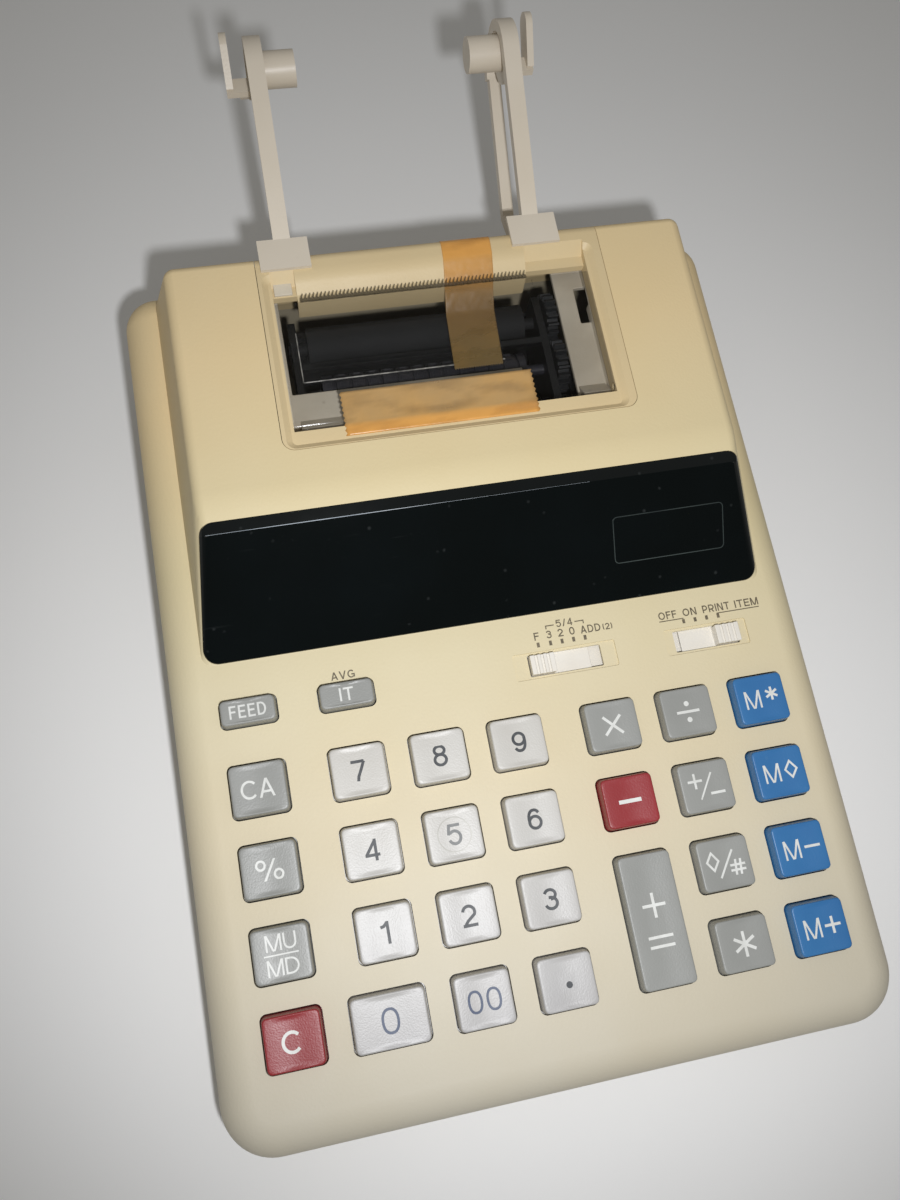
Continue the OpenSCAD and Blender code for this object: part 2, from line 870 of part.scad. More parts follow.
module cover_window() {
  tooth_n = floor((tear_x1 - tear_x0 - 0.6) / tooth_pitch);
  x0 = (tear_x0 + tear_x1) / 2 - tooth_n * tooth_pitch / 2;
  color(smoke)
    at_rear() {
      difference() {
        translate([win_x0 + 0.25, win_y, win_z])
          cube([win_x1 - win_x0 - 0.5, 90.3 - win_y, win_t]);
        // relief under the tear edge
        translate([tear_x0 - 1, 88.6, win_z - 1])
          cube([tear_x1 - tear_x0 + 2, 5, 1.9]);
      }
      // saw-tooth tear edge
      translate([0, 0, win_top - 0.7])
        linear_extrude(0.7)
          polygon(concat([[x0, 90], [x0, tear_y]],
            [for (i = [0:tooth_n - 1]) each [
              [x0 + (i + 0.5) * tooth_pitch, tear_y + 1.5],
              [x0 + (i + 1) * tooth_pitch, tear_y]]],
            [[x0 + tooth_n * tooth_pitch, 90]]));
      // rolled front edge and its pins
      bar_x(win_x0 + 0.25, win_x1 - 0.25, win_y, win_z, win_t);
      bar_x(win_x0 - 1.3, win_x1 + 1.3, win_y, win_z, pivot_r);
    }
}

module printer_tray() {
  color(cream)
    at_rear()
      difference() {
        translate([win_x0 - 1.9, win_front - 3.6, tray_z])
          cube([win_x1 - win_x0 + 3.8, 47.4, 11.9 - tray_z - seat]);
        translate([win_x0 - 0.5, win_front - 2.2, tray_z + 1.4])
          cube([win_x1 - win_x0 + 1, 44.8, 5]);
        // the printer's opening
        translate([-41.6, 68.6, 5])
          cube([74.8, 25, 6]);
        translate([19.6, 54, 5])
          cube([13.6, 30, 6]);
        translate([-41.6, 92.5, 5])
          cube([74.8, 4, 6]);
        // stepped notch
        translate([38.4, 84.4, 5])
          cube([5, 5.6, 6]);
        translate([38.4, 79.4, 5])
          cube([2.9, 6, 6]);
        // carrier wall passes down here
        translate([tear_x0 - 0.5, 89, 5])
          cube([tear_x1 - tear_x0 + 1, 8, 9]);
      }
}

// ---------- printer ----------

module gear(n, bore) {
  pr = gear_m * n / 2;
  difference() {
    union() {
      cylinder(r = pr - 0.85, h = gear_t);
      linear_extrude(gear_t)
        for (i = [0:n - 1])
          rotate(i * 360 / n)
            polygon([[pr - 1.2, -0.62], [pr + 0.5, -0.26], [pr + 0.5, 0.26],
              [pr - 1.2, 0.62]]);
    }
    translate([0, 0, -1])
      cylinder(r = bore, h = gear_t + 2);
  }
}

module gear_at(y, z, n, bore, turn) {
  translate([gear_x, y, z])
    rotate([90, 0, 90])
      rotate(turn)
        gear(n, bore);
}

module printer_frame() {
  color(black)
    at_rear()
      difference() {
        union() {
          for (x = [mech_x0 - 1, mech_x1])
            side(x, x + 2)
              polygon([[53, -10], [90.4, -10], [90.4, 7.4], [80, 8.2],
                [57, 8.2], [53, 4]]);
          translate([mech_x0, 53, -10])
            cube([mech_x1 - mech_x0 + 1, 37.4, 1.6]);
          translate([mech_x0, 53, -9])
            cube([mech_x1 - mech_x0 + 1, 1.6, 12]);
          // bar behind the print drum
          translate([mech_x0, 76.2, 6.2])
            cube([mech_x1 - mech_x0 + 1, 1.6, 2]);
          // paper guide under the platen
          side(mech_x0, mech_x1 + 1)
            polygon([[90.4, -9], [88.9, -9], [89.3, -0.6], [90.4, -0.6]]);
          // motor bracket
          translate([mech_x1 + 1, 57, -16.4])
            cube([9, 17, 1.4]);
          translate([mech_x1 + 7.4, 57, -16.4])
            cube([1.6, 17, 17]);
          translate([mech_x1, 57, -16.4])
            cube([2, 17, 7]);
          // legs down to the floor of the bottom case
          for (x = [mech_x0 + 3, mech_x1 - 3])
            translate([x, leg_y, leg_z])
              rotate([-slope, 0, 0])
                translate([0, 0, -leg_l])
                  cylinder(r = 2.4, h = leg_l);
        }
        bar_x(mech_x0 - 2, mech_x1 + 3, platen_y, drum_z, shaft_r + run_gap);
        bar_x(mech_x0 - 2, mech_x1 + 3, drum_y, drum_z, shaft_r + run_gap);
        bar_x(mech_x0 - 2, mech_x1 + 3, ink_y, drum_z, shaft_r + run_gap);
        bar_x(mech_x1 - 2, mech_x1 + 12, pinion_y, pinion_z, shaft_r + run_gap);
      }
}

module roller(y, r, x0, x1, end) {
  bar_x(mech_x0 - 1.4, end, y, drum_z, shaft_r);
  bar_x(x0, x1, y, drum_z, r);
}

module platen_roller() {
  color([0.14, 0.14, 0.15])
    at_rear()
      roller(platen_y, 5.4, tear_x0 + 1, tear_x1 - 1, gear_x + gear_t + 0.6);
}

module platen_gear() {
  color(key_white)
    at_rear()
      gear_at(platen_y, drum_z, gear_n, shaft_r + 0.02, 0);
}

module print_drum() {
  color([0.3, 0.3, 0.33])
    at_rear()
      difference() {
        roller(drum_y, 5, tear_x0 + 3, tear_x1 - 3, gear_x + gear_t + 0.6);
        // grooves between the type rings
        for (i = [0:12])
          translate([tear_x0 + 6 + i * 4.1, drum_y, drum_z])
            rotate([0, 90, 0])
              difference() {
                cylinder(r = 6, h = 0.8);
                cylinder(r = 4.4, h = 0.8);
              }
      }
}

module drum_gear() {
  color(key_white)
    at_rear()
      gear_at(drum_y, drum_z, gear_n, shaft_r + 0.02, 180 / gear_n);
}

module ink_roller() {
  color([0.1, 0.12, 0.35])
    at_rear()
      roller(ink_y, 4.9, tear_x0 + 4, tear_x1 - 4, mech_x1 + 1.6);
}

module ink_guard() {
  color(smoke)
    at_rear() {
      translate([mech_x0 + 0.6, 71.8, 9.6])
        cube([54, 14, 1]);
      translate([mech_x0 + 0.6, 71.2, 8.9])
        cube([54, 1, 1.7]);
      // legs that stand on the side plate and the bar
      translate([mech_x0 - 0.9, 78.6, 8.3])
        cube([3, 5, 1.4]);
      translate([mech_x0 + 4, 76.3, 8.25])
        cube([48, 1.2, 1.5]);
    }
}

module printer_motor() {
  color(steel)
    at_rear() {
      bar_x(mech_x1 + 9.1, mech_x1 + 30, pinion_y, pinion_z, 7.6);
      bar_x(mech_x1 + 30 - eps, mech_x1 + 32, pinion_y, pinion_z, 3);
    }
}

// phase of the pinion that puts a gap against the drum gear's tooth
module motor_pinion() {
  color(steel)
    at_rear() {
      gear_at(pinion_y, pinion_z, pinion_n, 0.9, pinion_turn);
      bar_x(mech_x1 + 0.4, mech_x1 + 9, pinion_y, pinion_z, 1);
    }
}

drum_phase = (pinion_a - 180 / gear_n) * gear_n / 360;
pinion_turn = pinion_a + 180 + (drum_phase - floor(drum_phase) + 0.5) * 360 / pinion_n;

// ---------- paper arms ----------

arm_hub = [arm_y, arm_z];          // upper arc of the bend
arm_hub2 = [arm_y, arm_z - 5.4];   // lower arc of the bend
arm_top_a = 114;                   // where the upper bar leaves the bend
arm_low_a = -59;                   // where the lower bar leaves the bend
stub_at = arm_hub + [0.9, 1];

function dir(a) = [cos(a), sin(a)];

// area inside the bend, r from its two centres
module bend_area(r) {
  translate(arm_hub)
    circle(r, $fn = 72);
  translate(arm_hub2)
    circle(r, $fn = 72);
  translate(arm_hub2)
    square([r, arm_hub[1] - arm_hub2[1]]);
}

// bend and upper bar of the hairpin, seen from the side
module arm_upper() {
  difference() {
    bend_area(arm_r);
    bend_area(arm_r - arm_t);
    polygon([arm_hub, arm_hub + 20 * dir(arm_top_a), arm_hub + 30 * [-1, 0.2],
      arm_hub2 + 30 * [-0.5, -1], arm_hub2 + 20 * dir(arm_low_a), arm_hub2]);
  }
  polygon([arm_hub + arm_r * dir(arm_top_a), arm_hub + (arm_r - arm_t) * dir(arm_top_a),
    [107.4, 17], [107.4, house_h + 1.1]]);
}

// thinner lower bar, kinked forward to the rear wall
module arm_lower() {
  p = arm_hub2 + arm_r * dir(arm_low_a);
  q = arm_hub2 + (arm_r - arm_t) * dir(arm_low_a);
  polygon([p, p + [1.2, 0.9], q + [1.2, 0.9], q, [121.2, 0.9], [106.6, 5.2],
    [106.6, 2.6], [121.6, -2]]);
}

// corner of the outer shelf, where the fin stands
shelf_at = [arm_y - 3.2, arm_z - 3.2];

module arm(cx, inward) {
  translate([cx, 0, 0]) {
    side(-arm_w / 2, arm_w / 2)
      arm_upper();
    side(-arm_low_w / 2, arm_low_w / 2)
      arm_lower();
    // web across the bend
    bar_x(-0.8, 0.8, stub_at[0], stub_at[1], arm_r - 1.8);
    // roll stub
    translate([inward > 0 ? arm_w / 2 - 3 : -arm_w / 2 - stub_l, 0, 0])
      bar_x(0, stub_l + 3, stub_at[0], stub_at[1], stub_r);
    // clip plate, its web behind the edge and the tongue into the cover
    translate([-clip_w / 2, 98.9, house_h + seat])
      cube([clip_w, 8.6, 1.05]);
    translate([-4.5, 104.3, 14.8])
      cube([9, 3.2, house_h - 14.7]);
    translate([-4.5, 98.1, 14.8])
      cube([9, 6.4, 1.6]);
    // outer shelf with its gusset, and the fin
    mirror([inward > 0 ? 1 : 0, 0, 0]) {
      side(0, arm_w / 2 + 5.8)
        translate(shelf_at)
          square([4.2, 2]);
      side(0, arm_w / 2 + 2.6)
        translate(shelf_at)
          polygon([[0, 0.1], [4.2, 0.1], [3.4, -1.6], [0.8, -1.6]]);
      side(arm_w / 2 + 4, arm_w / 2 + 5.8)
        translate(shelf_at + [1.9, 0.9])
          rotate(-50) {
            translate([-2.6, 0])
              square([6.2, 10]);
            translate([0.5, 10])
              circle(3.1, $fn = 48);
          }
    }
  }
}

module left_paper_arm() {
  color(key_white)
    at_rear()
      arm(arm_left_x, 1);
}

module right_paper_arm() {
  color(key_white)
    at_rear()
      arm(arm_right_x, -1);
}

// ---------- shipping tapes ----------

function unit(v) = v / norm(v);
function seg_normal(p, i) = let (d = unit(p[i + 1] - p[i])) [-d[1], d[0]];
function pt_normal(p, i) = i == 0 ? seg_normal(p, 0)
  : i == len(p) - 1 ? seg_normal(p, i - 1)
  : unit(seg_normal(p, i - 1) + seg_normal(p, i));

// flat ribbon that follows (y, z) points
module ribbon(pts, t) {
  n = len(pts) - 1;
  polygon(concat(pts, [for (i = [n:-1:0]) pts[i] + t * pt_normal(pts, i)]));
}

module rear_tape() {
  tape_x = 9.15;
  t = 0.15;
  g = house_h + seat;
  r = house_edge + seat;
  rc = [cover_rear - house_edge, house_h - house_edge];
  color(tape_orange)
    at_rear()
      intersection() {
        side(tape_x - 10, tape_x + 10)
          ribbon(concat([[69.5, 11], [76, 10.75], [86, 10.75], [90.6, 13.8],
            [91.5, 14.75], [92.9, 16.55], [ridge_y, g], [rc[0], g]],
            [for (a = [80:-10:0]) rc + r * [cos(a), sin(a)]],
            [[cover_rear + seat + 0.1, cover_z + 0.4]]), t);
        // the strip leans across the printer
        translate([tape_x, ridge_y, 0])
          rotate([0, 0, -2.5])
            translate([-6.6, -40, 0])
              cube([13.2, 60, 40]);
      }
}

module front_tape_frame() {
  color(tape_orange)
    at_rear()
      translate([-30.3, 51.9, win_top + 0.2 + seat])
        cube([50, 2.8, 0.15]);
}

module front_tape_window() {
  r = win_t + seat / 2;
  color(tape_orange)
    at_rear()
      side(-30.3, 19.7)
        ribbon(concat([for (a = [150:-10:90]) [win_y, win_z] + r * [cos(a), sin(a)]],
          [[63.9, win_z + r]]), 0.15);
}

// ---------- output ----------

translate([0, -mid_y, 0]) {
  lower_case();
  upper_case();
  display_lens();
  display_module();
  printer_cover();
  cover_window();
  printer_tray();
  printer_frame();
  platen_roller();
  platen_gear();
  print_drum();
  drum_gear();
  ink_roller();
  ink_guard();
  printer_motor();
  motor_pinion();
  main_board();
  key_mat();
  switch_bodies();
  decimal_slider();
  mode_slider();
  left_paper_arm();
  right_paper_arm();
  battery_cover();
  battery_contacts();
  adaptor_inlet();
  feet();
  case_screws();
  rear_tape();
  front_tape_frame();
  front_tape_window();
  key_feed();
  key_it();
  key_ca();
  key_percent();
  key_mumd();
  key_c();
  key_7();
  key_8();
  key_9();
  key_4();
  key_5();
  key_6();
  key_1();
  key_2();
  key_3();
  key_0();
  key_00();
  key_point();
  key_times();
  key_minus();
  key_plus();
  key_divide();
  key_sign();
  key_subtotal();
  key_total();
  key_m_total();
  key_m_subtotal();
  key_m_minus();
  key_m_plus();
}
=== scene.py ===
"""Finished look of a desk calculator with a built-in roll-paper printer."""

from __future__ import annotations

import logging
import math
from dataclasses import dataclass, field, replace
from enum import Enum
from typing import Callable, Iterable, Sequence

import bmesh
import bpy
from mathutils import Matrix, Vector, noise


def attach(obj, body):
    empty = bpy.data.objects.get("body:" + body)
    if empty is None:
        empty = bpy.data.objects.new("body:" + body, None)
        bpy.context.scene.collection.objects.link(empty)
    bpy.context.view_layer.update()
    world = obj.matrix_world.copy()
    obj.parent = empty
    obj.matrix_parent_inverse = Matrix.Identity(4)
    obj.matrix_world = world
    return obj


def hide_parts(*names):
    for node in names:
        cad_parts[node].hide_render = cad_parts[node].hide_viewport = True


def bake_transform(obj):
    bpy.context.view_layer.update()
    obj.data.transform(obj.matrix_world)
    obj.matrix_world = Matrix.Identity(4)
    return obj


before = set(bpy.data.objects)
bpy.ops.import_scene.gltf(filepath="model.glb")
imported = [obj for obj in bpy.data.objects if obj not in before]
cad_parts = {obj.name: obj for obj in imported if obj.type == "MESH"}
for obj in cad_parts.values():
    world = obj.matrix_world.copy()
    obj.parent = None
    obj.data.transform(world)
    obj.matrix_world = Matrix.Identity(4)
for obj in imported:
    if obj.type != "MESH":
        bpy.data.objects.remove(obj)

LOG = logging.getLogger("calculator")
MM = 0.001
PANEL_SLOPE = math.radians(6.0)
PANEL_AT = (0.0, -23.685, 35.2)
PANEL = (
    Matrix.Translation(Vector(PANEL_AT) * MM)
    @ Matrix.Rotation(PANEL_SLOPE, 4, "X")
    @ Matrix.Scale(MM, 4)
)
LENS = PANEL @ Matrix.Translation((0.0, 3.5, 0.0)) @ Matrix.Rotation(math.radians(30.0), 4, "X")
KEY_TOP = 3.0

Colour = tuple[float, float, float]
Pair = tuple[float, float]


def srgb(red: int, green: int, blue: int) -> Colour:
    """Turns a screen colour into linear light.

    Args:
        red: Red, 0 to 255.
        green: Green, 0 to 255.
        blue: Blue, 0 to 255.

    Returns:
        The linear colour.
    """

    def linear(value: int) -> float:
        """Gives one channel in linear light."""
        v = value / 255.0
        return v / 12.92 if v <= 0.04045 else ((v + 0.055) / 1.055) ** 2.4

    return (linear(red), linear(green), linear(blue))


class Body(Enum):
    """The rigid bodies that pieces ride on."""

    CASE = "case"
    WINDOW = "window"
    PLATEN = "platen"
    DRUM = "drum"
    PINION = "pinion"
    INKER = "inker"
    LEFT_ARM = "left_arm"
    RIGHT_ARM = "right_arm"
    BATTERY_LID = "battery_lid"
    DECIMAL = "decimal_switch"
    MODE = "mode_switch"


class Surface(Enum):
    """How a finish meets light."""

    SOLID = "solid"
    CLEAR = "clear"


# ---------- node trees ----------

Tree = bpy.types.NodeTree
Socket = bpy.types.NodeSocket


def feed_node(node: bpy.types.Node, feeds: dict[str | int, object]) -> None:
    """Feeds a node's inputs.

    Args:
        node: The node.
        feeds: A socket or a plain value for an input's name or number.
    """
    for key, value in feeds.items():
        if isinstance(value, bpy.types.NodeSocket):
            node.id_data.links.new(value, node.inputs[key])
        else:
            node.inputs[key].default_value = value


def add_node(
    tree: Tree, kind: str, feeds: dict[str | int, object] | None = None, **settings: object
) -> bpy.types.Node:
    """Adds a node, sets it up and feeds its inputs.

    Args:
        tree: The tree.
        kind: The node's type name.
        feeds: A socket or a plain value for an input's name or number.
        **settings: Attributes to set on the node.

    Returns:
        The node.
    """
    made = tree.nodes.new(kind)
    for key, value in settings.items():
        setattr(made, key, value)
    feed_node(made, feeds or {})
    return made


def mix_colours(tree: Tree, share: object, first: object, second: object, blend: str = "MIX") -> Socket:
    """Mixes two colours.

    Args:
        tree: The tree.
        share: How much of the second colour shows.
        first: The first colour.
        second: The second colour.
        blend: How the second meets the first.

    Returns:
        Socket that gives the mix.
    """
    feeds = {0: share, 6: first, 7: second}
    return add_node(tree, "ShaderNodeMix", feeds, data_type="RGBA", blend_type=blend).outputs[2]


def change_range(
    tree: Tree, start: Socket, old: Pair, new: Pair = (0.0, 1.0), ease: str = "LINEAR"
) -> Socket:
    """Changes a value's range and clamps the result.

    Args:
        tree: The tree.
        start: The value.
        old: Range that the value comes in.
        new: Range that it goes to.
        ease: How it goes from one end to the other.

    Returns:
        Socket that gives the result.
    """
    feeds = {"Value": start, "From Min": old[0], "From Max": old[1], "To Min": new[0], "To Max": new[1]}
    return add_node(tree, "ShaderNodeMapRange", feeds, interpolation_type=ease).outputs[0]


@dataclass
class ShaderGroup:
    """A shader node group with named sockets, built once."""

    name: str
    inputs: Sequence[tuple[str, object]]
    result: str
    tree: Tree | None = None

    def get(self) -> Tree:
        """Builds the tree on first use.

        Returns:
            The node tree.
        """
        if self.tree is None:
            self.tree = bpy.data.node_groups.new(self.name, "ShaderNodeTree")
            face = self.tree.interface
            face.new_socket("Vector", in_out="INPUT", socket_type="NodeSocketVector")
            for label, value in self.inputs:
                kind = "NodeSocketFloat" if isinstance(value, float) else "NodeSocketColor"
                face.new_socket(label, in_out="INPUT", socket_type=kind).default_value = value
            kind = "NodeSocketColor" if self.result == "Colour" else "NodeSocketFloat"
            face.new_socket(self.result, in_out="OUTPUT", socket_type=kind)
            given = self.tree.nodes.new("NodeGroupInput").outputs
            add_node(self.tree, "NodeGroupOutput", {self.result: self.wire(given)})
        return self.tree

    def wire(self, given: bpy.types.bpy_prop_collection) -> Socket:
        """Wires the group's nodes; each kind of group has its own way."""
        raise NotImplementedError

    def texture(self, kind: str, given: bpy.types.bpy_prop_collection, **settings: object) -> bpy.types.Node:
        """Adds a texture at the group's place and scale.

        Args:
            kind: The texture's type name.
            given: The group's inputs.
            **settings: Attributes to set on the node.

        Returns:
            The texture's node.
        """
        return add_node(self.tree, kind, {"Vector": given["Vector"], "Scale": given["Scale"]}, **settings)

    def noise(self, given: bpy.types.bpy_prop_collection, detail: float, roughness: float = 0.55) -> Socket:
        """Adds noise at the group's place and scale.

        Args:
            given: The group's inputs.
            detail: Noise detail.
            roughness: Noise roughness.

        Returns:
            Socket that gives the noise.
        """
        made = self.texture("ShaderNodeTexNoise", given)
        feed_node(made, {"Detail": detail, "Roughness": roughness})
        return made.outputs["Fac"]

    def maths(self, operation: str, first: object, second: object, **settings: object) -> Socket:
        """Joins two sockets or values in a sum."""
        node = add_node(self.tree, "ShaderNodeMath", {0: first, 1: second}, operation=operation, **settings)
        return node.outputs[0]


class GrainGroup(ShaderGroup):
    """Spark-eroded mould grain: fine pits over a slow swell."""

    def wire(self, given: bpy.types.bpy_prop_collection) -> Socket:
        """Adds the pits to the swell."""
        cells = self.texture("ShaderNodeTexVoronoi", given, feature="SMOOTH_F1")
        return self.maths("ADD", self.noise(given, 3.0, 0.6), cells.outputs["Distance"])


class ToneGroup(ShaderGroup):
    """A slow change between two colours."""

    def wire(self, given: bpy.types.bpy_prop_collection) -> Socket:
        """Mixes the colours by noise.

        Args:
            given: The group's inputs.

        Returns:
            Socket that gives the colour.
        """
        mask = change_range(self.tree, self.noise(given, 4.0), (0.35, 0.68))
        amount = self.maths("MULTIPLY", mask, given["Amount"])
        return mix_colours(self.tree, amount, given["Colour"], given["Drift"])


class GlossGroup(ShaderGroup):
    """A value that wanders round its own middle."""

    def wire(self, given: bpy.types.bpy_prop_collection) -> Socket:
        """Adds centred noise to the value.

        Args:
            given: The group's inputs.

        Returns:
            Socket that gives the value.
        """
        uneven = self.maths("SUBTRACT", self.noise(given, 6.0, 0.7), 0.5)
        wide = self.maths("MULTIPLY", uneven, given["Spread"])
        return self.maths("ADD", wide, given["Roughness"], use_clamp=True)


class MaskGroup(ShaderGroup):
    """A mask that shows in patches only."""

    def patched(self, mask: Socket, patch: Socket, edge: Pair, amount: Socket) -> Socket:
        """Keeps a mask where a patch is.

        Args:
            mask: The mask.
            patch: Noise that sets the patches.
            edge: Where a patch starts and where it is full.
            amount: How much of the mask shows.

        Returns:
            Socket that gives the mask.
        """
        both = self.maths("MULTIPLY", mask, change_range(self.tree, patch, edge))
        return self.maths("MULTIPLY", both, amount)


class DustGroup(MaskGroup):
    """Sparse pale flecks of dust."""

    def wire(self, given: bpy.types.bpy_prop_collection) -> Socket:
        """Keeps the middles of some cells.

        Args:
            given: The group's inputs.

        Returns:
            Socket that gives the mask.
        """
        cells = self.texture("ShaderNodeTexVoronoi", given, feature="F1")
        near = change_range(self.tree, cells.outputs["Distance"], (0.05, 0.16), (1.0, 0.0))
        return self.patched(near, self.noise(given, 1.0), (0.56, 0.62), given["Amount"])


class ScuffGroup(MaskGroup):
    """Fine hairlines rubbed in one direction."""

    ROTATION = (0.0, 0.0, 0.9)
    STRETCH = (1.0, 22.0, 1.0)
    PATCH_SCALE = 30.0

    def wire(self, given: bpy.types.bpy_prop_collection) -> Socket:
        """Keeps the ridges of stretched noise, in patches.

        Args:
            given: The group's inputs.

        Returns:
            Socket that gives the mask.
        """
        feeds = {"Vector": given["Vector"], "Rotation": self.ROTATION, "Scale": self.STRETCH}
        stretched = add_node(self.tree, "ShaderNodeMapping", feeds, vector_type="POINT").outputs["Vector"]
        feeds = {"Vector": stretched, "Scale": given["Scale"], "Detail": 2.0}
        lines = add_node(self.tree, "ShaderNodeTexNoise", feeds).outputs["Fac"]
        feeds = {"Vector": given["Vector"], "Scale": self.PATCH_SCALE, "Detail": 1.0}
        patch = add_node(self.tree, "ShaderNodeTexNoise", feeds).outputs["Fac"]
        thin = change_range(self.tree, lines, (0.68, 0.74))
        return self.patched(thin, patch, (0.52, 0.62), given["Amount"])


PLAIN = (1.0, 1.0, 1.0, 1.0)
COAT_ROUGHNESS = 0.06
BUMP_HEIGHT = 0.00012
HAZE_SCALE = 170.0
GRAIN = GrainGroup("mould_grain", [("Scale", 900.0)], "Height")
TONE = ToneGroup(
    "tone_drift", [("Colour", PLAIN), ("Drift", PLAIN), ("Scale", 14.0), ("Amount", 1.0)], "Colour"
)
GLOSS = GlossGroup("gloss_drift", [("Roughness", 0.4), ("Spread", 0.1), ("Scale", 90.0)], "Roughness")
DUST = DustGroup("dust_flecks", [("Scale", 260.0), ("Amount", 0.3)], "Mask")
SCUFF = ScuffGroup("hair_scuffs", [("Scale", 60.0), ("Amount", 0.3)], "Mask")


# ---------- finishes ----------


@dataclass(frozen=True)
class Finish:
    """One surface finish, as a procedural material."""

    name: str
    colour: Colour
    drift: Colour
    roughness: float = 0.42
    rough_spread: float = 0.12
    grain: float = 0.15
    grain_scale: float = 1400.0
    drift_scale: float = 16.0
    dust: float = 0.0
    scuff: float = 0.0
    mark: Colour = (0.7, 0.68, 0.62)
    metallic: float = 0.0
    coat: float = 0.0
    alpha: float = 1.0
    alpha_drift: float = 0.0
    specular: float = 0.5
    surface: Surface = Surface.SOLID
    tint: Colour | None = None
    touch: float = 0.0
    # Stops of painted light and shade along Y in metres, multiplied into the colour.
    painted_light: tuple[tuple[float, Colour], ...] = ()

    def material(self) -> bpy.types.Material:
        """Builds the material on first use.

        Returns:
            The material.
        """
        label = f"{self.name}_finish"
        found = bpy.data.materials.get(label)
        if found is not None:
            return found
        made = bpy.data.materials.new(label)
        made.use_nodes = True
        tree = made.node_tree
        shader = tree.nodes["Principled BSDF"]
        place = tree.nodes.new("ShaderNodeTexCoord").outputs["Object"]
        gloss = self._group(tree, GLOSS, place, Roughness=self.roughness, Spread=self.rough_spread)
        feeds = {
            "Base Color": self._colour(tree, place), "Metallic": self.metallic, "Roughness": gloss,
            "Specular IOR Level": self.specular, "Coat Weight": self.coat, "Coat Roughness": COAT_ROUGHNESS,
        }
        if self.grain > 0.0:
            height = self._group(tree, GRAIN, place, Scale=self.grain_scale)
            bump = {"Strength": self.grain, "Distance": BUMP_HEIGHT, "Height": height}
            feeds["Normal"] = add_node(tree, "ShaderNodeBump", bump).outputs["Normal"]
        if self.surface is Surface.CLEAR:
            feeds["Alpha"] = self._alpha(tree, place)
        feed_node(shader, feeds)
        return made

    def _colour(self, tree: Tree, place: Socket) -> Socket:
        """Mixes the surface's colour.

        Args:
            tree: The material's tree.
            place: Socket that gives the pattern's place.

        Returns:
            Socket that gives the colour.
        """
        fresh = {"Colour": (*self.colour, 1.0), "Drift": (*self.drift, 1.0), "Scale": self.drift_scale}
        colour = self._group(tree, TONE, place, **fresh)
        # Painted light: the shade and tint of the light, laid along Y.
        if self.painted_light:
            colour = self._paint_light(tree, place, colour)
        if self.tint is not None:
            colour = mix_colours(tree, self._attribute(tree, "tint"), colour, (*self.tint, 1.0))
        for group, amount in ((DUST, self.dust), (SCUFF, self.scuff)):
            if amount > 0.0:
                mask = self._group(tree, group, place, Amount=amount)
                colour = mix_colours(tree, mask, colour, (*self.mark, 1.0))
        return colour

    def _alpha(self, tree: Tree, place: Socket) -> object:
        """Gives how much of the surface stops light.

        Args:
            tree: The material's tree.
            place: Socket that gives the pattern's place.

        Returns:
            A plain value, or a socket where it changes over the surface.
        """
        if self.alpha_drift <= 0.0:
            return self.alpha
        haze = {"Roughness": self.alpha, "Spread": self.alpha_drift, "Scale": HAZE_SCALE}
        alpha = self._group(tree, GLOSS, place, **haze)
        if self.touch > 0.0:
            feeds = {0: self._attribute(tree, "touch"), 1: -self.touch, 2: alpha}
            alpha = add_node(tree, "ShaderNodeMath", feeds, operation="MULTIPLY_ADD").outputs[0]
        return alpha

    def _paint_light(self, tree: Tree, place: Socket, colour: Socket) -> Socket:
        """Paints light and shade into the colour along Y, from the case's front to its rear.

        Args:
            tree: The material's tree.
            place: Socket that gives the pattern's place.
            colour: Socket that gives the colour before the painted light.

        Returns:
            Socket that gives the colour with the painted light and shade.
        """
        along = add_node(tree, "ShaderNodeSeparateXYZ", {0: place}).outputs["Y"]
        first, last = self.painted_light[0][0], self.painted_light[-1][0]
        ramp = add_node(tree, "ShaderNodeValToRGB", {0: change_range(tree, along, (first, last))})
        stops = ramp.color_ramp.elements
        while len(stops) < len(self.painted_light):
            stops.new(0.5)
        for stop, (y, painted_light) in zip(stops, self.painted_light):
            stop.position = (y - first) / (last - first)
            stop.color = (*painted_light, 1.0)
        return mix_colours(tree, 1.0, colour, ramp.outputs["Color"], "MULTIPLY")

    @staticmethod
    def _attribute(tree: Tree, name: str) -> Socket:
        """Reads a named value from the mesh."""
        return add_node(tree, "ShaderNodeAttribute", attribute_name=name).outputs["Fac"]

    @staticmethod
    def _group(tree: Tree, group: ShaderGroup, place: Socket, **values: object) -> Socket:
        """Places a shared group in a material and gives its result."""
        feeds = {"Vector": place, **values}
        return add_node(tree, "ShaderNodeGroup", feeds, node_tree=group.get()).outputs[group.result]


CREAM = Finish(
    "cream_case", srgb(226, 208, 179), srgb(221, 201, 168), 0.56, 0.10, 0.22, 1500.0, 11.0, 0.10,
    mark=srgb(200, 184, 152), specular=0.28,
    # Painted light: the flash's fall-off and the bluer light towards the front, multiplied in along Y.
    painted_light=(
        (-0.125, (0.76, 0.852, 0.972)), (-0.098, (0.819, 0.907, 1.0)), (-0.06, (0.888, 0.954, 0.972)),
        (-0.028, (0.922, 0.99, 0.944)), (0.005, (0.865, 0.90, 0.775)), (0.05, (1.0, 0.963, 0.787)),
    ),
)
COVER_CREAM = Finish(
    "cream_cover", srgb(216, 196, 154), srgb(210, 188, 144), 0.5, 0.10, 0.20, 1500.0, 13.0, 0.10,
    mark=srgb(190, 174, 142),
)
LOWER_CREAM = Finish(
    "lower_case_beige", srgb(186, 175, 150), srgb(174, 163, 138), 0.52, 0.10, 0.30, 1100.0, 12.0, 0.15,
    mark=srgb(150, 140, 120),
)
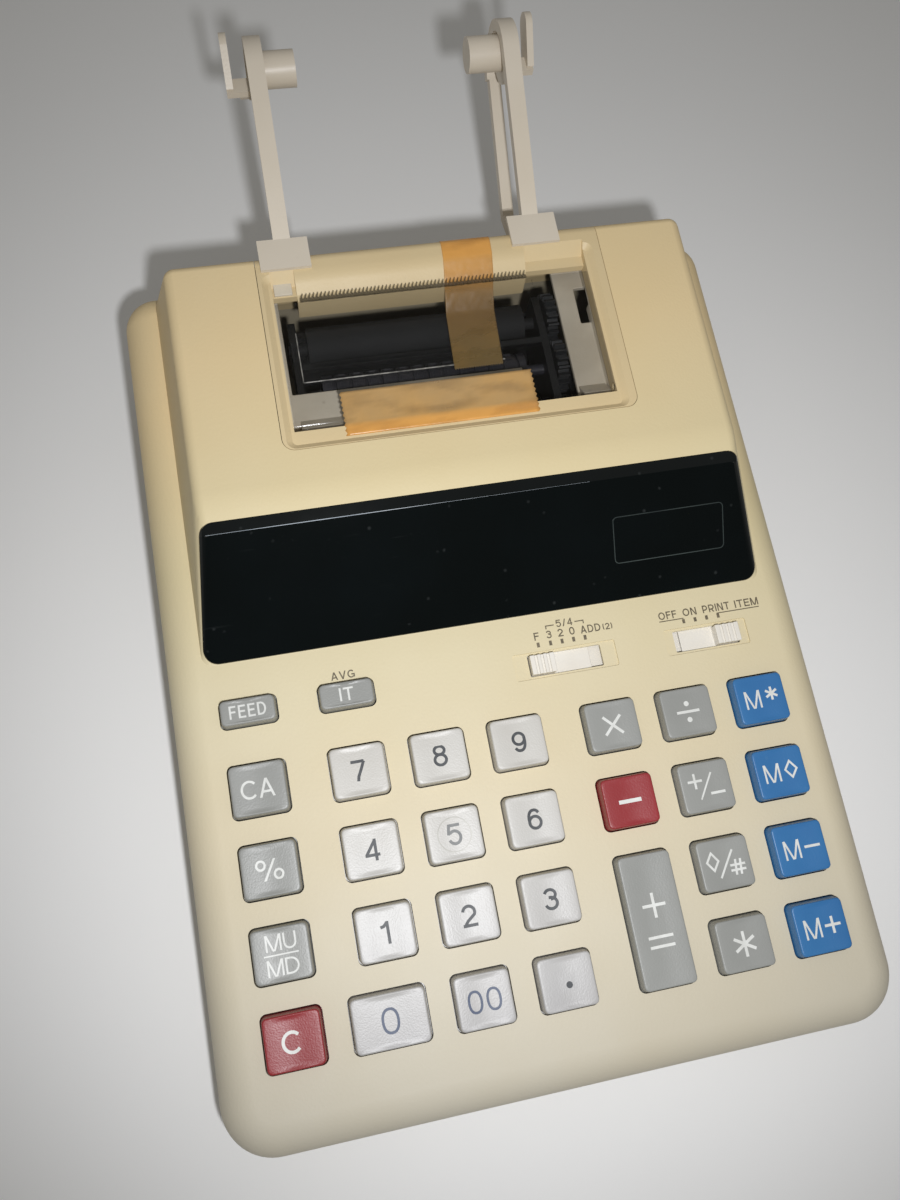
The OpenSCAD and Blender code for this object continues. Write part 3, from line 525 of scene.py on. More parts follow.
LENS_BLACK = Finish(
    "lens_gloss_black", srgb(8, 12, 12), srgb(10, 15, 16), 0.07, 0.05, 0.0, drift_scale=30.0,
    dust=0.10, scuff=0.04, mark=srgb(120, 125, 125), coat=0.5,
)
# The moulded outline is real; its lighter colour is a painted highlight along its step.
LENS_OUTLINE_HIGHLIGHT = Finish(
    "lens_outline_painted_highlight", srgb(66, 74, 72), srgb(44, 50, 50), 0.25, 0.1, 0.0, drift_scale=60.0, coat=0.4
)
# Painted highlight: the flash's line of light along the lens's fold.
LENS_PAINTED_GLINT = Finish(
    "lens_fold_painted_glint", srgb(196, 204, 210), srgb(150, 160, 168), 0.15, 0.1, 0.0, drift_scale=90.0
)
SMOKED = Finish(
    "smoked_clear", srgb(26, 25, 22), srgb(32, 30, 26), 0.08, 0.05, 0.0, drift_scale=40.0, dust=0.10,
    scuff=0.08, alpha=0.14, surface=Surface.CLEAR, specular=0.35,
)
TEAR_CLEAR = Finish(
    "tear_edge_clear", srgb(76, 68, 52), srgb(56, 51, 41), 0.12, 0.1, 0.0, drift_scale=500.0,
    alpha=0.42, surface=Surface.CLEAR, coat=0.5,
)
GUARD_CLEAR = Finish(
    "guard_clear", srgb(52, 54, 56), srgb(64, 66, 68), 0.10, 0.1, 0.0, drift_scale=70.0,
    scuff=0.15, alpha=0.10, alpha_drift=0.08, surface=Surface.CLEAR, coat=0.8,
)
# Painted highlight: the light the ink guard's front and left edges catch.
GUARD_PAINTED_HIGHLIGHT = Finish(
    "guard_edge_painted_highlight", srgb(206, 204, 196), srgb(96, 96, 92), 0.2, 0.1, 0.0, drift_scale=420.0
)
TRAY_BEIGE = Finish(
    "tray_beige", srgb(216, 207, 188), srgb(194, 184, 164), 0.5, 0.1, 0.2, drift_scale=60.0, dust=0.3,
    mark=srgb(120, 112, 96),
)
MECH_BLACK = Finish(
    "mechanism_black", srgb(17, 19, 21), srgb(12, 13, 14), 0.42, 0.2, 0.15, drift_scale=80.0, dust=0.3,
    mark=srgb(90, 92, 95),
)
ROLLER_RUBBER = Finish(
    "roller_rubber", srgb(22, 24, 25), srgb(17, 18, 19), 0.75, 0.1, 0.4, 2600.0, 90.0, 0.2,
    mark=srgb(92, 92, 92),
)
GEAR_DARK = Finish(
    "gear_acetal", srgb(38, 40, 42), srgb(30, 31, 33), 0.38, 0.1, 0.08, drift_scale=90.0
)
TYPE_GREY = Finish(
    "type_drum_grey", srgb(44, 44, 50), srgb(34, 34, 40), 0.45, 0.15, 0.1, drift_scale=120.0, dust=0.4,
    mark=srgb(38, 34, 70),
)
INK_BLUE = Finish(
    "ink_foam_blue", srgb(26, 26, 44), srgb(18, 18, 32), 0.85, 0.1, 0.9, 1800.0, 150.0, specular=0.2
)
BRIGHT_STEEL = Finish(
    "bright_steel", srgb(186, 188, 190), srgb(166, 168, 172), 0.3, 0.15, 0.05, 2200.0, 60.0, metallic=1.0
)
ARM_CREAM = Finish(
    "arm_warm_grey", srgb(217, 207, 190), srgb(209, 198, 179), 0.4, 0.1, 0.10, 1700.0, 24.0, 0.08,
    mark=srgb(178, 168, 152),
)
SWITCH_WHITE = Finish(
    "switch_warm_white", srgb(230, 226, 217), srgb(222, 216, 204), 0.36, 0.1, 0.06, 1800.0, 60.0, 0.12,
    mark=srgb(190, 180, 160),
)
FOOT_RUBBER = Finish(
    "foot_rubber", srgb(40, 39, 38), srgb(52, 50, 47), 0.8, 0.1, 0.5, 2000.0, 80.0, 0.5,
    mark=srgb(120, 114, 104),
)
BOARD_GREEN = Finish(
    "board_green", srgb(36, 92, 58), srgb(28, 76, 48), 0.35, 0.1, 0.1, 900.0, 120.0, coat=0.4
)
MAT_GREY = Finish("mat_silicone", srgb(92, 94, 98), srgb(80, 82, 86), 0.7, 0.1, 0.2, drift_scale=70.0)
DISPLAY_GLASS = Finish(
    "display_glass", srgb(40, 62, 58), srgb(30, 48, 45), 0.15, 0.1, 0.0, drift_scale=80.0, coat=0.5
)
PRINT_BROWN = Finish(
    "print_brown", srgb(94, 85, 68), srgb(116, 106, 86), 0.55, 0.1, 0.0, drift_scale=900.0
)
PRINT_DARK = Finish(
    "print_dark", srgb(44, 48, 52), srgb(62, 66, 68), 0.5, 0.1, 0.0, drift_scale=700.0
)
PRINT_BLUE_GREY = Finish(
    "print_blue_grey", srgb(60, 72, 98), srgb(76, 88, 110), 0.5, 0.1, 0.0, drift_scale=700.0
)
PRINT_WORN = Finish(
    "print_worn", srgb(98, 101, 102), srgb(128, 129, 127), 0.5, 0.1, 0.0, drift_scale=400.0
)
PRINT_WHITE = Finish(
    "print_white", srgb(218, 219, 215), srgb(206, 207, 202), 0.45, 0.1, 0.0, drift_scale=700.0
)
# Painted shade on the rear strip where it runs under the smoked window.
TAPE_PAINTED_SHADE = (
    (0.040, (1.0, 1.0, 1.0)), (0.0425, (0.55, 0.6, 0.54)), (0.050, (0.72, 0.76, 0.7)),
    (0.061, (0.68, 0.69, 0.72)), (0.0665, (1.0, 1.0, 1.0)),
)
TAPE_ORANGE = Finish(
    "aged_tape", srgb(190, 155, 104), srgb(206, 162, 98), 0.3, 0.2, 0.5, 420.0, 70.0, 0.0, 0.35,
    mark=srgb(228, 192, 132), alpha=0.88, alpha_drift=0.16, surface=Surface.CLEAR, tint=srgb(230, 168, 86),
    touch=0.42, painted_light=TAPE_PAINTED_SHADE,
)
FLOOR_PALE = Finish(
    "floor_pale", srgb(243, 243, 242), srgb(239, 239, 238), 0.7, 0.05, 0.1, 400.0, 3.0, specular=0.1
)
KEY_RING = Finish(
    "key_ring_worn", srgb(168, 166, 158), srgb(180, 178, 170), 0.4, 0.1, 0.0, drift_scale=400.0
)
# Painted shade: the front keys darker, where less of the flash's light falls.
KEY_PAINTED_SHADE = ((-0.125, (0.74, 0.75, 0.81)), (-0.06, (1.0, 1.0, 1.0)))


class KeyFinish(Enum):
    """The four key plastics, with the record's slot names."""

    WHITE = (
        "key_white",
        Finish("key_plastic_white", srgb(194, 192, 186), srgb(188, 185, 178), 0.4, 0.10, 0.2, 2800.0,
               40.0, 0.10, mark=srgb(176, 170, 156), painted_light=KEY_PAINTED_SHADE),
    )
    GREY = (
        "key_grey",
        Finish("key_plastic_grey", srgb(147, 148, 144), srgb(140, 141, 137), 0.4, 0.10, 0.2, 2800.0,
               40.0, 0.12, mark=srgb(168, 166, 158)),
    )
    RED = (
        "key_red",
        Finish("key_plastic_red", srgb(144, 44, 48), srgb(135, 40, 43), 0.4, 0.10, 0.2, 2800.0,
               40.0, 0.12, mark=srgb(176, 98, 96)),
    )
    BLUE = (
        "key_blue",
        Finish("key_plastic_blue", srgb(53, 113, 166), srgb(46, 103, 158), 0.4, 0.10, 0.2, 2800.0,
               40.0, 0.12, mark=srgb(96, 136, 170)),
    )

    @property
    def slot(self) -> str:
        """The record's slot."""
        return self.value[0]

    @property
    def finish(self) -> Finish:
        """The finish."""
        return self.value[1]


# ---------- mesh tools ----------

MERGE_GAP = 2e-6
SLIVER = 1e-6
FLAT_ANGLE = math.radians(0.15)
FLAT_WEIGHT = 80


def object_from(
    bm: bmesh.types.BMesh, name: str, place: Matrix = PANEL, smooth_angle: float = 32.0
) -> bpy.types.Object:
    """Makes an object at the origin from a bmesh drawn in another frame.

    Args:
        bm: The mesh, freed here.
        name: The object's name.
        place: Frame the mesh was drawn in.
        smooth_angle: Edges sharper than this, in degrees, stay sharp.

    Returns:
        The object.
    """
    bm.transform(place)
    bmesh.ops.recalc_face_normals(bm, faces=bm.faces)
    limit = math.radians(smooth_angle)
    for face in bm.faces:
        face.smooth = True
    for edge in bm.edges:
        if len(edge.link_faces) == 2:
            edge.smooth = edge.calc_face_angle(0.0) < limit
    mesh = bpy.data.meshes.new(name)
    bm.to_mesh(mesh)
    bm.free()
    made = bpy.data.objects.new(name, mesh)
    bpy.context.scene.collection.objects.link(made)
    return made


def apply_modifiers(piece: bpy.types.Object) -> None:
    """Turns a piece's modifiers into plain mesh.

    Args:
        piece: The piece.
    """
    graph = bpy.context.evaluated_depsgraph_get()
    mesh = bpy.data.meshes.new_from_object(piece.evaluated_get(graph), depsgraph=graph)
    piece.modifiers.clear()
    piece.data = mesh


def soften(piece: bpy.types.Object, width: float, segments: int = 2, angle: float = 32.0) -> None:
    """Rounds a piece's sharp edges and evens its shading.

    Args:
        piece: The piece.
        width: Width of the rounding, in mm.
        segments: Steps in the rounding.
        angle: Edges sharper than this are rounded, in degrees.
    """
    if width > 0.0:
        bevel = piece.modifiers.new("edge", "BEVEL")
        bevel.width = width * MM
        bevel.segments = segments
        bevel.limit_method = "ANGLE"
        bevel.angle_limit = math.radians(angle)
        bevel.use_clamp_overlap = True
        bevel.harden_normals = True
        bevel.miter_outer = "MITER_ARC"
    weighted = piece.modifiers.new("shading", "WEIGHTED_NORMAL")
    weighted.keep_sharp = True
    weighted.weight = FLAT_WEIGHT
    apply_modifiers(piece)


def finish_piece(
    piece: bpy.types.Object, finish: Finish, body: str, nodes: Sequence[str] = ()
) -> None:
    """Dresses a piece and hands it to its body.

    Args:
        piece: The piece.
        finish: Its finish.
        body: The body it rides on.
        nodes: CAD nodes it stands for.
    """
    piece.data.materials.clear()
    piece.data.materials.append(finish.material())
    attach(piece, body)
    if nodes:
        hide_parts(*nodes)
    LOG.info("%s: %d faces, rides on %s", piece.name, len(piece.data.polygons), body)


def clean_node(node: str, convex: bool = False) -> bmesh.types.BMesh:
    """Reads a CAD node as few clean faces, ready to be softened.

    Args:
        node: The CAD node.
        convex: Whether hollow outlines are cut into convex faces.

    Returns:
        The mesh, in metres.
    """
    bm = bmesh.new()
    bm.from_mesh(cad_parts[node].data)
    bmesh.ops.remove_doubles(bm, verts=bm.verts, dist=MERGE_GAP)
    bmesh.ops.dissolve_degenerate(bm, edges=bm.edges, dist=SLIVER)
    bmesh.ops.dissolve_limit(
        bm, angle_limit=FLAT_ANGLE, verts=bm.verts, edges=bm.edges, use_dissolve_boundaries=False
    )
    if convex:
        bmesh.ops.triangulate(bm, faces=bm.faces)
    return bm


def cut_across(
    bm: bmesh.types.BMesh, y: float, way: float = 1.0, clear: bool = False
) -> list[bmesh.types.BMEdge]:
    """Cuts a mesh along a plane across Y.

    Args:
        bm: The mesh.
        y: Where the plane stands.
        way: Side of the plane that counts as outside, 1 or -1.
        clear: Whether the outside goes.

    Returns:
        The new edges.
    """
    cut = bmesh.ops.bisect_plane(
        bm, geom=[*bm.verts, *bm.edges, *bm.faces], plane_co=(0.0, y, 0.0), plane_no=(0.0, way, 0.0),
        clear_outer=clear,
    )
    return [e for e in cut["geom_cut"] if isinstance(e, bmesh.types.BMEdge)]


def loft(rings: Sequence[Sequence[Vector]]) -> bmesh.types.BMesh:
    """Joins rings of equal length into one closed skin.

    Args:
        rings: Rings of points, each in the same order.

    Returns:
        The mesh.
    """
    bm = bmesh.new()
    rows = [[bm.verts.new(p) for p in ring] for ring in rings]
    for low, high in zip(rows, rows[1:]):
        for i in range(len(low)):
            j = (i + 1) % len(low)
            bm.faces.new((low[i], low[j], high[j], high[i]))
    bm.faces.new(list(reversed(rows[0])))
    bm.faces.new(rows[-1])
    return bm


def ladder(
    rows: Sequence[tuple[Sequence[float], Sequence[float]]], closed: bool = False
) -> bmesh.types.BMesh:
    """Makes a flat strip from the points on its two sides.

    Args:
        rows: Pairs of points along the strip.
        closed: Whether the last pair joins the first.

    Returns:
        The mesh.
    """
    bm = bmesh.new()
    made = [(bm.verts.new(first), bm.verts.new(second)) for first, second in rows]
    for low, high in zip(made, made[1:] + (made[:1] if closed else [])):
        bm.faces.new((low[0], high[0], high[1], low[1]))
    return bm


def add_box(bm: bmesh.types.BMesh, low: Sequence[float], high: Sequence[float]) -> None:
    """Adds a box between two corners.

    Args:
        bm: The mesh to add to.
        low: Lowest corner.
        high: Highest corner.
    """
    made = bmesh.ops.create_cube(bm, size=1.0)["verts"]
    bmesh.ops.scale(bm, vec=[b - a for a, b in zip(low, high)], verts=made)
    bmesh.ops.translate(bm, vec=[(a + b) / 2 for a, b in zip(low, high)], verts=made)


def join_into(bm: bmesh.types.BMesh, other: bmesh.types.BMesh) -> None:
    """Adds another bmesh to this one and frees it.

    Args:
        bm: The mesh that grows.
        other: The mesh that goes into it.
    """
    spare = bpy.data.meshes.new("spare")
    other.to_mesh(spare)
    other.free()
    bm.from_mesh(spare)
    bpy.data.meshes.remove(spare)


def circle(x: float, y: float, radius: float, steps: int) -> list[Pair]:
    """Gives points round a circle.

    Args:
        x: Centre across.
        y: Centre along.
        radius: Its radius.
        steps: Number of points.

    Returns:
        The points.
    """
    angles = [2 * math.pi * i / steps for i in range(steps)]
    return [(x + radius * math.cos(a), y + radius * math.sin(a)) for a in angles]


@dataclass(frozen=True)
class NodePiece:
    """A CAD node dressed in its own shape, with its edges rounded."""

    node: str
    name: str
    body: Body
    finish: Finish
    slot: str
    edge: float
    segments: int = 2
    sharp: float = 32.0
    convex: bool = False

    def build(self) -> None:
        """Builds and dresses the piece."""
        piece = object_from(clean_node(self.node, self.convex), self.name, Matrix.Identity(4), self.sharp)
        soften(piece, self.edge, self.segments, self.sharp)
        finish_piece(piece, self.finish, self.body.value, [self.node])


@dataclass(frozen=True)
class BoxPiece:
    """A piece made of boxes in the panel's frame."""

    name: str
    body: Body
    finish: Finish
    slot: str
    edge: float
    boxes: Sequence[tuple[Sequence[float], Sequence[float]]]

    def build(self) -> None:
        """Builds and dresses the piece."""
        bm = bmesh.new()
        for low, high in self.boxes:
            add_box(bm, low, high)
        piece = object_from(bm, self.name)
        soften(piece, self.edge)
        finish_piece(piece, self.finish, self.body.value)


# ---------- repeats made by Geometry Nodes ----------


@dataclass
class Repeater:
    """A Geometry Nodes tree that repeats a piece along a line or round an axis."""

    name: str
    tree: Tree | None = None
    ids: dict[str, str] = field(default_factory=dict)

    INPUTS = {
        "Geometry": "Geometry", "Count": "Int", "Step": "Vector", "Turn": "Float", "Size Jitter": "Float",
        "Seed": "Int", "Material": "Material",
    }

    def build(self) -> None:
        """Builds the tree with its named inputs."""
        tree = self.tree = bpy.data.node_groups.new(self.name, "GeometryNodeTree")
        tree.interface.new_socket("Geometry", in_out="OUTPUT", socket_type="NodeSocketGeometry")
        for label, kind in self.INPUTS.items():
            socket = tree.interface.new_socket(label, in_out="INPUT", socket_type=f"NodeSocket{kind}")
            self.ids[label] = socket.identifier
        given = tree.nodes.new("NodeGroupInput").outputs
        line = add_node(
            tree, "GeometryNodeMeshLine", {"Count": given["Count"], "Offset": given["Step"]}, mode="OFFSET"
        )
        index = tree.nodes.new("GeometryNodeInputIndex").outputs[0]
        turn = add_node(tree, "ShaderNodeMath", {0: index, 1: given["Turn"]}, operation="MULTIPLY")
        euler = add_node(tree, "ShaderNodeCombineXYZ", {"X": turn.outputs[0]})
        rotation = add_node(tree, "FunctionNodeEulerToRotation", {0: euler.outputs[0]})
        low = add_node(tree, "ShaderNodeMath", {0: 1.0, 1: given["Size Jitter"]}, operation="SUBTRACT")
        feeds = {2: low.outputs[0], 3: 1.0, "Seed": given["Seed"]}
        chance = add_node(tree, "FunctionNodeRandomValue", feeds, data_type="FLOAT")
        size = add_node(tree, "ShaderNodeCombineXYZ", {"X": 1.0, "Y": chance.outputs[1], "Z": 1.0})
        feeds = {
            "Points": line.outputs["Mesh"], "Instance": given["Geometry"], "Rotation": rotation.outputs[0],
            "Scale": size.outputs[0],
        }
        place = add_node(tree, "GeometryNodeInstanceOnPoints", feeds)
        real = add_node(tree, "GeometryNodeRealizeInstances", {0: place.outputs[0]})
        feeds = {"Geometry": real.outputs[0], "Material": given["Material"]}
        dress = add_node(tree, "GeometryNodeSetMaterial", feeds)
        add_node(tree, "NodeGroupOutput", {0: dress.outputs[0]})

    def run(
        self, piece: bpy.types.Object, finish: Finish, count: int, step: Sequence[float] = (0.0, 0.0, 0.0),
        turn: float = 0.0, jitter: float = 0.0, seed: int = 7,
    ) -> None:
        """Repeats a piece and turns the result into plain mesh.

        Args:
            piece: The piece that holds one copy.
            finish: Finish for all copies.
            count: Number of copies.
            step: Move from one copy to the next, in the piece's own units.
            turn: Turn about X from one copy to the next, in radians.
            jitter: Share by which a copy's Y size may fall short.
            seed: Seed for that share.
        """
        if self.tree is None:
            self.build()
        modifier = piece.modifiers.new(self.name, "NODES")
        modifier.node_group = self.tree
        values = {
            "Count": count, "Step": step, "Turn": turn, "Size Jitter": jitter, "Seed": seed,
            "Material": finish.material(),
        }
        for label, value in values.items():
            modifier[self.ids[label]] = value
        apply_modifiers(piece)


REPEAT = Repeater("repeat_copies")


# ---------- print ----------

LAYERS = 7
LAYER_STEP = 0.003


@dataclass(frozen=True)
class Disc:
    """A flat disc, in mm."""

    x: float
    y: float
    radius: float

    def draw(self) -> list[bmesh.types.BMesh]:
        """Makes the disc.

        Returns:
            Its one mesh.
        """
        bm = bmesh.new()
        bm.faces.new([bm.verts.new((*p, 0.0)) for p in circle(self.x, self.y, self.radius, 24)])
        return [bm]


@dataclass(frozen=True)
class Stroke:
    """A flat straight stroke with square ends, in mm."""

    start: Pair
    end: Pair
    width: float
    steps: int = 6

    def draw(self) -> list[bmesh.types.BMesh]:
        """Makes the stroke.

        Returns:
            Its one mesh.
        """
        a, b = Vector((*self.start, 0.0)), Vector((*self.end, 0.0))
        side = Vector((-(b - a).y, (b - a).x, 0.0)).normalized() * self.width / 2
        middle = [a.lerp(b, i / self.steps) for i in range(self.steps + 1)]
        return [ladder([(p - side, p + side) for p in middle])]


@dataclass(frozen=True)
class Line:
    """A flat line of even width through points, mitred at its corners, in mm."""

    points: Sequence[Pair]
    width: float
    closed: bool = True
    spacing: float = 0.8
    least_bend: float = 0.35

    def draw(self) -> list[bmesh.types.BMesh]:
        """Makes the line.

        Returns:
            Its one mesh.
        """
        fine: list[Vector] = []
        ends = list(self.points) + ([self.points[0]] if self.closed else [])
        for a, b in zip(ends, ends[1:]):
            first, last = Vector(a), Vector(b)
            steps = max(1, math.ceil((last - first).length / self.spacing))
            fine.extend(first.lerp(last, k / steps) for k in range(steps))
        if not self.closed:
            fine.append(Vector(ends[-1]))
        count = len(fine)
        rows = []
        for i, here in enumerate(fine):
            before = fine[i - 1] if i or self.closed else here
            after = fine[(i + 1) % count] if i < count - 1 or self.closed else here
            first = (here - before).normalized() if before != here else (after - here).normalized()
            second = (after - here).normalized() if after != here else first
            normal = Vector((-(first + second).y, (first + second).x)).normalized()
            reach = self.width / 2 / max(self.least_bend, normal.dot(Vector((-first.y, first.x))))
            rows.append(((*(here - normal * reach), 0.0), (*(here + normal * reach), 0.0)))
        return [ladder(rows, self.closed)]


@dataclass(frozen=True)
class Sheet:
    """A flat strip given by the points on its two sides, in mm."""

    rows: Sequence[tuple[Sequence[float], Sequence[float]]]

    def draw(self) -> list[bmesh.types.BMesh]:
        """Makes the strip's one mesh."""
        return [ladder(self.rows)]


def arc(x: float, y: float, rx: float, ry: float, start: float, end: float, power: float = 1.0) -> list[Pair]:
    """Gives points along an oval.

    Args:
        x: Centre across.
        y: Centre along.
        rx: Radius across.
        ry: Radius along.
        start: First angle in degrees.
        end: Last angle in degrees.
        power: Under 1 for squarer shoulders.

    Returns:
        The points.
    """
    steps = max(4, round(abs(end - start) / 15))
    made = []
    for i in range(steps + 1):
        a = math.radians(start + (end - start) * i / steps)
        c, s = math.cos(a), math.sin(a)
        made.append((x + rx * math.copysign(abs(c) ** power, c), y + ry * math.copysign(abs(s) ** power, s)))
    return made


Lines = list[tuple[list[Pair], bool]]


@dataclass(frozen=True)
class Words:
    """Plain upright lettering drawn with strokes of one width, centred on a point, in mm."""

    text: str
    height: float
    width: float
    weight: float
    x: float = 0.0
    y: float = 0.0
    gap: float = 0.17

    SHARES = {
        "A": 0.86, "C": 0.96, "D": 0.84, "E": 0.7, "F": 0.66, "G": 0.92, "I": 0.14, "M": 0.98, "N": 0.82,
        "O": 0.96, "P": 0.74, "R": 0.8, "T": 0.8, "U": 0.8, "V": 0.88, "1": 0.4, "(": 0.26, ")": 0.26,
        "/": 0.5, "%": 1.24,
    }

    def lines(self, mark: str, w: float) -> Lines:
        """Draws one mark's middle lines from the origin up.

        Args:
            mark: The mark.
            w: Its width in mm.

        Returns:
            The lines, each with whether it is closed.
        """
        h, t = self.height, self.weight
        e = t / 2
        l, r, b, c, m = e, w - e, e, w / 2, h / 2
        u = h - e
        rx, ry = c - e, m - e
        stem = ([(l, 0.0), (l, h)], False)
        over = t * 0.8
        if mark in "0O":
            return [(arc(c, m, rx, ry, 0, 345, 0.86 if mark == "0" else 1.0), True)]
        if mark == "1":
            flag = [(r - e * 0.4, h * 0.93), (r - w * 0.42, h * 0.79), (0.0, h * 0.755)]
            return [([(r, 0.0), (r, h)], False), (flag, False)]
        if mark == "2":
            top = arc(c, u - rx * 0.96, rx, rx * 0.96, 172, -28)
            return [(top + [(c * 0.72, h * 0.27), (l + 0.02 * w, b)], False), ([(0.0, b), (w, b)], False)]
        if mark == "3":
            low, high = h * 0.29 - e / 2, h * 0.25 - e / 2
            return [
                (arc(c * 0.97, u - high, rx * 0.93, high, 165, -90), False),
                (arc(c * 0.97, b + low, rx, low, 90, -165), False),
                ([(c * 0.72, b + 2 * low), (c * 1.05, b + 2 * low)], False),
            ]
        if mark == "4":
            x = w * 0.74
            return [
                ([(x, 0.0), (x, h)], False),
                ([(x, h - e), (l, h * 0.3)], False),
                ([(0.0, h * 0.27), (w, h * 0.27)], False),
            ]
        if mark == "5":
            bowl = h * 0.33 - e / 2
            return [
                ([(w * 0.93, u), (w * 0.2, u), (w * 0.1, h * 0.5)], False),
                (arc(c, b + bowl, rx, bowl, 140, -160), False),
            ]
        if mark in "69":
            bowl = h * 0.315 - e / 2
            ring = (arc(c, b + bowl, rx, bowl, 0, 345), True)
            back = (arc(c, m, rx, ry, 205, 38, 0.9), False)
            if mark == "6":
                return [ring, back]
            return [([(w - x, h - y) for x, y in line], closed) for line, closed in (ring, back)]
        if mark == "7":
            tail = [(r, u), (w * 0.62, h * 0.5), (w * 0.42, h * 0.22), (w * 0.36, 0.0)]
            return [([(0.0, u), (r, u)], False), (tail, False)]
        if mark == "8":
            low, high = h * 0.285 - e / 2, h * 0.235 - e / 2
            return [
                (arc(c, b + low, rx, low, 0, 345), True),
                (arc(c, b + 2 * low + high, rx * 0.88, high, 0, 345), True),
            ]
        if mark == "A":
            return [
                ([(e - over * 0.36, -over), (c + over * 0.36, h + over)], False),
                ([(w - e + over * 0.36, -over), (c - over * 0.36, h + over)], False),
                ([(w * 0.24, h * 0.3), (w * 0.76, h * 0.3)], False),
            ]
        if mark in "CG":
            ring = (arc(c, m, rx, ry, 42, 318), False)
            if mark == "C":
                return [ring]
            return [ring, ([(c * 1.05, h * 0.45), (r, h * 0.45), (r, h * 0.08)], False)]
        if mark == "D":
            turn = w * 0.42
            bow = [(l, u), (turn, u), *arc(turn, m, r - turn, ry, 90, -90), (turn, b), (l, b)]
            return [stem, (bow, False)]
        if mark in "EF":
            bars = [stem, ([(0.0, u), (w, u)], False), ([(0.0, h * 0.52), (w * 0.92, h * 0.52)], False)]
            return bars + ([([(0.0, b), (w, b)], False)] if mark == "E" else [])
        if mark == "I":
            return [([(c, 0.0), (c, h)], False)]
        if mark == "M":
            right = ([(r, 0.0), (r, h)], False)
            return [
                stem, right,
                ([(l - over * 0.1, h + over), (c + over * 0.1, -over)], False),
                ([(r + over * 0.1, h + over), (c - over * 0.1, -over)], False),
            ]
        if mark == "N":
            slant = [(l - over * 0.3, h + over), (r + over * 0.3, -over)]
            return [stem, ([(r, 0.0), (r, h)], False), (slant, False)]
        if mark in "PR":
            bowl = h * 0.27
            foot = u - 2 * bowl
            loop = ([(l, u), (c, u), *arc(c, u - bowl, r - c, bowl, 90, -90), (c, foot), (l, foot)], False)
            leg = [([(c, foot), (w - e + over * 0.3, -over)], False)]
            return [stem, loop] + (leg if mark == "R" else [])
        if mark == "T":
            return [([(c, 0.0), (c, h)], False), ([(0.0, u), (w, u)], False)]
        if mark == "U":
            return [([(l, h), (l, b + rx), *arc(c, b + rx, rx, rx, 180, 360), (r, b + rx), (r, h)], False)]
        if mark == "V":
            return [
                ([(e - over * 0.36, h + over), (c + over * 0.36, -over)], False),
                ([(w - e + over * 0.36, h + over), (c - over * 0.36, -over)], False),
            ]
        if mark in "()":
            bow = arc(w * 1.3, m, w * 1.3 - e, h * 0.6, 130, 230)
            return [(bow if mark == "(" else [(w - x, y) for x, y in bow], False)]
        if mark == "/":
            return [([(e - over * 0.3, -over), (w - e + over * 0.3, h + over)], False)]
        if mark == "%":
            small = h * 0.2
            return [
                (arc(small + e, u - small, small, small * 1.05, 0, 330), True),
                (arc(w - small - e, b + small, small, small * 1.05, 0, 330), True),
                ([(w * 0.26, -over), (w * 0.74, h + over)], False),
            ]
        raise ValueError(f"no drawing for {mark}")

    def draw(self) -> list[bmesh.types.BMesh]:
        """Draws the words.

        Returns:
            One flat mesh for each stroke.
        """
        shares = [self.SHARES.get(mark, 0.7) * self.height for mark in self.text]
        between = self.gap * self.height * (len(self.text) - 1)
        scale = (self.width - between) / sum(shares) if self.width else 1.0
        at = self.x - (sum(shares) * scale + between) / 2
        made = []
        for mark, share in zip(self.text, shares):
            for points, closed in self.lines(mark, share * scale):
                (part,) = Line(points, self.weight, closed).draw()
                cut_across(part, 0.0, -1.0, True)
                cut_across(part, self.height, 1.0, True)
                part.transform(Matrix.Translation((at, self.y - self.height / 2, 0.0)))
                made.append(part)
            at += share * scale + self.gap * self.height
        return made


Mark = Disc | Stroke | Line | Sheet | Words


def star(x: float, y: float, size: float, width: float) -> list[Mark]:
    """Lays out a six-armed star of three strokes.

    Args:
        x: Centre across.
        y: Centre along.
        size: Width over the arms.
        width: Stroke width.

    Returns:
        The strokes.
    """
    made: list[Mark] = []
    for angle in (30.0, 90.0, 150.0):
        c, s = math.cos(math.radians(angle)) * size / 2, math.sin(math.radians(angle)) * size / 2
        made.append(Stroke((x - c, y - s), (x + c, y + s), width))
    return made


def print_piece(
    marks: Iterable[Mark], name: str, place: Matrix, top: Callable[[float, float], float],
    depth: float = 0.1, proud: float = 0.03,
) -> bpy.types.Object:
    """Lays flat print on a surface as a thin layer.

    Args:
        marks: What is printed.
        name: The object's name.
        place: Frame the print is drawn in.
        top: Gives the surface's height at a point.
        depth: How far the layer reaches into the surface.
        proud: How far it stands out of it.

    Returns:
        The object.
    """
    bm = bmesh.new()
    for level, part in enumerate(part for mark in marks for part in mark.draw()):
        for v in part.verts:
            v.co.z = top(v.co.x, v.co.y) + proud + LAYER_STEP * (level % LAYERS)
        for face in part.faces:
            if face.normal.z < 0:
                face.normal_flip()
        rims = bmesh.ops.extrude_face_region(part, geom=list(part.faces))
        low = [g for g in rims["geom"] if isinstance(g, bmesh.types.BMVert)]
        bmesh.ops.translate(part, vec=(0.0, 0.0, -depth), verts=low)
        join_into(bm, part)
    return object_from(bm, name, place, 20.0)


def flat_top(_x: float, _y: float) -> float:
    """Height of a flat surface, in mm."""
    return 0.0


# ---------- keys ----------

DISH_DEPTH = 0.24


def dish(x: float, half: float) -> float:
    """Height of a key's top over its rim at x from its middle line.

    Args:
        x: Distance from the middle line, in mm.
        half: Half of the top's width.

    Returns:
        The height, at most 0.
    """
    if abs(x) >= half:
        return 0.0
    return -DISH_DEPTH * math.cos(math.pi * x / (2 * half)) ** 2


